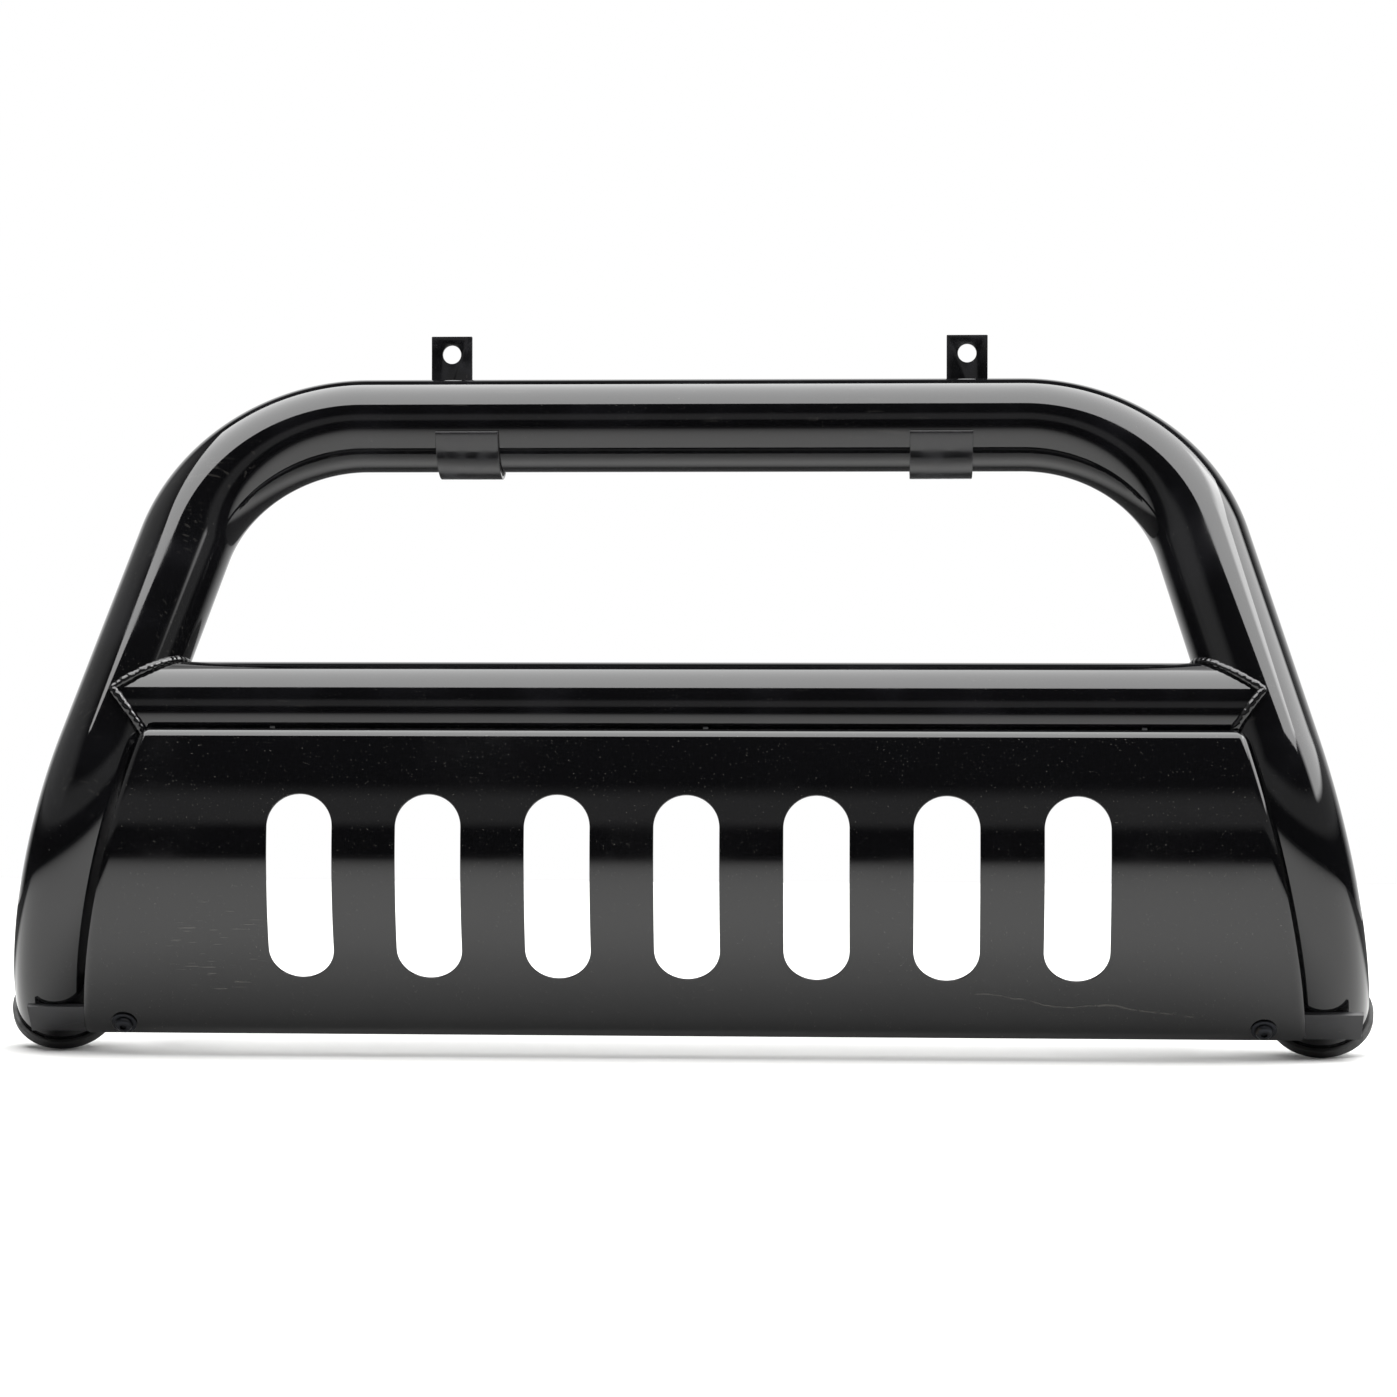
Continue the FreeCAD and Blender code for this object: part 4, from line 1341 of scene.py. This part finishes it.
# ---------------------------------------------------------------- light brackets
@dataclass(frozen=True)
class LightBracket:
    """One light bracket: strap and rubber round the top tube, and an upright tab behind it."""

    side: Side
    line: HoopLine
    finishes: Finishes
    liner: float = 3.0 * MM
    strap: float = 3.0 * MM
    lip_angle: float = math.radians(10.0)
    flange_height: float = 20.0 * MM
    pad_height: float = 10.0 * MM
    tab_thickness: float = 4.0 * MM
    tab_width: float = 34.0 * MM
    tab_corner: float = 0.7 * MM
    hole: float = 15.4 * MM
    hole_above_axis: float = 63.0 * MM
    arc_steps: int = 36

    def arc(self, radius: float, start: float, end: float, x: float) -> list[Vector]:
        """Points round the top tube's axis, angles counted from straight back over the top."""
        turns = (start + (end - start) * step / self.arc_steps for step in range(self.arc_steps + 1))
        return [Vector((x, radius * math.cos(turn), radius * math.sin(turn))) for turn in turns]

    def wrapped(self, name: str, outline: list[Vector], width: float, ease: float) -> Object:
        """Extrude a section along the tube, ease its edges and put it on the tube's axis."""
        obj = extruded(name, outline, Vector((width, 0, 0)))
        round_edges(obj, ease, 3, 40)
        return move_mesh(obj, Matrix.Translation(self.line.stand().translation))

    def build(self) -> None:
        """Make and dress the strap, the rubber and the tab."""
        word, tube = self.side.word, self.line.tube_radius
        low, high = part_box("light_saddle_" + word)
        inner, outer = tube + self.liner, tube + self.liner + self.strap
        front = math.pi + self.lip_angle
        section = self.arc(outer, front, math.tau, low.x)
        section += [Vector((low.x, outer, self.flange_height)), Vector((low.x, inner, self.flange_height))]
        section += self.arc(inner, math.tau, front, low.x)
        saddle = self.wrapped("light_strap_" + word, section, high.x - low.x, 0.6 * MM)
        self.finishes.dress(saddle, self.finishes.semi_gloss, "satin_black_coat", "light_saddle_" + word)
        pad_angle = math.tau + math.asin(self.pad_height / tube)
        section = self.arc(inner, front, math.tau, low.x) + [Vector((low.x, inner, self.pad_height))]
        section += self.arc(tube, pad_angle, front, low.x)
        rubber = self.wrapped("rubber_strip_" + word, section, high.x - low.x, 0.25 * MM)
        self.finishes.dress(rubber, self.finishes.rubber, "black_liner_rubber", "light_liner_" + word)
        self.tab(low.x, high.x)

    def tab(self, foot_low: float, foot_high: float) -> None:
        """The upright tab: a foot as wide as the strap, and an ear with the light's hole."""
        word = self.side.word
        low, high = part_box("light_tab_" + word)
        foot_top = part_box("light_saddle_" + word)[1].z
        if self.side is Side.LEFT:
            ear_low, ear_high = low.x, low.x + self.tab_width
            shape = [(ear_low, low.z), (foot_high, low.z), (foot_high, foot_top), (ear_high, foot_top),
                     (ear_high, high.z), (ear_low, high.z)]
        else:
            ear_low, ear_high = high.x - self.tab_width, high.x
            shape = [(foot_low, low.z), (ear_high, low.z), (ear_high, high.z), (ear_low, high.z),
                     (ear_low, foot_top), (foot_low, foot_top)]
        obj = extruded("light_upright_" + word, [Vector((x, low.y, z)) for x, z in shape],
                       Vector((0, high.y - low.y, 0)))
        bevel_across(obj, self.tab_corner, 6)
        axis_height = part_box("main_hoop")[1].z - self.line.tube_radius
        centre = Vector(((ear_low + ear_high) / 2, (low.y + high.y) / 2, axis_height + self.hole_above_axis))
        cut_away(obj, round_cutter(centre, self.hole / 2, Vector((0, 1, 0)), 5 * self.tab_thickness))
        round_edges(obj, 0.4 * MM, 2, 40)
        self.finishes.dress(obj, self.finishes.semi_gloss, "satin_black_coat", "light_tab_" + word)


@dataclass(frozen=True)
class LightFixings:
    """The four bolts and washers behind the light brackets, and the rivet nuts in the hoop."""

    finishes: Finishes
    fasteners: Fasteners
    bolt_half_spacing: float = 14.0 * MM
    bolt_length: float = 20.0 * MM

    def build(self) -> None:
        """Make and dress the fixings."""
        make, places = self.fasteners, []
        for side in Side:
            low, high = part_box("light_saddle_" + side.word)
            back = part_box("light_tab_" + side.word)[1].y
            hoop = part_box("main_hoop")[1]
            for end in (-1, 1):
                across = (low.x + high.x) / 2 + end * self.bolt_half_spacing
                position = Vector((across, back, hoop.z - HoopLine.tube_radius))
                places.append(facing(position, Vector((1, 0, 0)), Vector((0, 1, 0))))
        washers = make.spread(make.ring("washer", make.washer / 2), places, "bracket_washers")
        self.finishes.dress(washers, self.finishes.zinc, "zinc_steel", "light_washers")
        raised = Matrix.Translation((0, 0, make.washer_thickness))
        turned = [place @ raised @ Matrix.Rotation(math.radians(17 + 31 * index), 4, "Z")
                  for index, place in enumerate(places)]
        bolts = make.spread(make.hex_bolt("bolt", self.bolt_length), turned, "bracket_bolts")
        self.finishes.dress(bolts, self.finishes.zinc, "zinc_steel", "light_bolts")
        self.finishes.dress_node("light_rivet_nuts", self.finishes.zinc)


# ---------------------------------------------------------------- mounting ears
@dataclass(frozen=True)
class MountEars:
    """The slotted plates behind the legs that take the vehicle's brackets."""

    finishes: Finishes
    edge_ease: float = 0.7 * MM

    def build(self) -> None:
        """Make and dress both ears."""
        for side in Side:
            softened("mount_ear_" + side.word, self.finishes, self.edge_ease)


# ---------------------------------------------------------------- studio
@dataclass(frozen=True)
class Studio:
    """Pale floor, one wide soft box overhead, the room round it, and the camera."""

    floor_half_width: float = 7.0
    floor_front: float = -6.0
    floor_back: float = 2.2
    room_floor_level: float = 0.2 * MM
    box_height: float = 3.3
    box_front: float = -2.15
    box_back: float = 1.8
    box_left: float = -2.4
    box_right: float = 3.2
    box_glow: float = 6.5
    camera_place: tuple[float, float, float] = (0.1540, -2.7950, 0.30114)
    camera_yaw: float = 0.052254
    camera_dip: float = 0.0075408
    camera_roll: float = 0.0014821
    lens: float = 89.863

    def build(self) -> None:
        """Set up everything that isn't the object."""
        self.floor()
        self.soft_box()
        self.surroundings()
        self.camera()
        bpy.context.scene.view_settings.view_transform = "Standard"

    def floor(self) -> None:
        """The paper roll on the floor, and just over it the room's floor with painted shade farther off, which
        only the gloss sees.
        """
        middle = (self.floor_front + self.floor_back) / 2
        paper = FloorPaper("pale_paper_roll", "d9d9d8").material()
        room = RoomFloor("room_floor", "d9d9d8").material()
        for name, level, material, mirrored in (("floor_paper", 0.0, paper, False),
                                                ("room_floor", self.room_floor_level, room, True)):
            deselect()
            bpy.ops.mesh.primitive_plane_add(size=1.0, location=(0, middle, level))
            bpy.context.active_object.scale = (2 * self.floor_half_width,
                                               self.floor_back - self.floor_front, 1)
            floor = take_primitive(name)
            floor.data.materials.append(material)
            floor.visible_glossy = mirrored
            floor.visible_camera = floor.visible_diffuse = floor.visible_shadow = not mirrored

    def soft_box(self) -> None:
        """Hang one wide soft box level over the guard."""
        light = bpy.data.lights.new("overhead_soft_box", "AREA")
        light.shape = "RECTANGLE"
        light.size = self.box_right - self.box_left
        light.size_y = self.box_back - self.box_front
        light.energy = self.box_glow * math.pi * light.size * light.size_y
        lamp = bpy.data.objects.new("overhead_soft_box", light)
        lamp.location = ((self.box_left + self.box_right) / 2, (self.box_front + self.box_back) / 2,
                         self.box_height)
        lamp.visible_camera = False
        bpy.context.scene.collection.objects.link(lamp)

    def surroundings(self) -> None:
        """The room by direction: dark in front, a dim wall band, white behind, a soft box on the right."""
        world = bpy.data.worlds.new("studio_room")
        bpy.context.scene.world = world
        world.use_nodes = True
        world.node_tree.nodes.clear()
        node = partial(add_node, world.node_tree)
        parts = node(SPLIT, None, (node("ShaderNodeTexCoord").outputs["Generated"],))
        x, y, z = (parts.outputs[name] for name in "XYZ")
        azimuth = node(MATH, {"operation": "ARCTAN2"}, (x, node(MATH, MULTIPLY, (y, -1.0))))
        # each source is the product of smooth limits, then its strength
        sources = (
            ("behind", ((y, 0.45, 0.85), (z, 0.62, 0.42)), 1.0, 0.0),
            ("wall", ((z, 0.15, 0.24), (z, 0.50, 0.36)), 0.35, 0.02),
            ("left wall", ((x, -0.45, -0.75), (z, 0.10, 0.35)), 0.45, 0.0),
            ("panel", ((azimuth, math.radians(58), math.radians(70)),
                       (azimuth, math.radians(122), math.radians(112)),
                       (z, 0.36, 0.42), (z, 0.84, 0.78)), 6.0, 0.0))
        glow = 0.0
        for label, limits, strength, least in sources:
            share = 1.0
            for value, dim, full in limits:
                share = node(MATH, MULTIPLY, (share, node(RANGE, SMOOTH, (value, dim, full))))
            source = node(MATH, {"operation": "MULTIPLY_ADD", "label": label}, (share, strength, least))
            glow = node(MATH, MAXIMUM, (glow, source))
        seen, lit = (node(BACKGROUND, None, {"Color": (1, 1, 1, 1), "Strength": strength})
                     for strength in (1.0, glow))
        camera_ray = node("ShaderNodeLightPath").outputs["Is Camera Ray"]
        node("ShaderNodeOutputWorld", None, (node("ShaderNodeMixShader", None, (camera_ray, lit, seen)),))

    def camera(self) -> None:
        """A long lens low in front of the guard, a little to its right."""
        yaw, dip = self.camera_yaw, self.camera_dip
        ahead = Vector((-math.sin(yaw) * math.cos(dip), math.cos(yaw) * math.cos(dip), -math.sin(dip)))
        right = Vector((math.cos(yaw), math.sin(yaw), 0))
        up = right.cross(ahead)
        rolled = right * math.cos(self.camera_roll) + up * math.sin(self.camera_roll)
        lens = bpy.data.cameras.new("camera")
        lens.lens = self.lens
        lens.sensor_width = 36.0
        lens.clip_end = 100.0
        obj = bpy.data.objects.new("camera", lens)
        bpy.context.scene.collection.objects.link(obj)
        obj.matrix_world = facing(Vector(self.camera_place), rolled, -ahead)
        bpy.context.scene.camera = obj


def main() -> None:
    """Build every sub-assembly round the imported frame, then the studio."""
    logging.basicConfig(level=logging.INFO, format="%(name)s: %(message)s")
    line = HoopLine()
    finishes = Finishes()
    fasteners = Fasteners()
    TubeFrame(line, finishes).build()
    EndCaps(line, finishes).build()
    SkidPlate(line, finishes, fasteners).build()
    for side in Side:
        LightBracket(side, line, finishes).build()
    LightFixings(finishes, fasteners).build()
    MountEars(finishes).build()
    Studio().build()


if __name__ == "__main__":
    main()
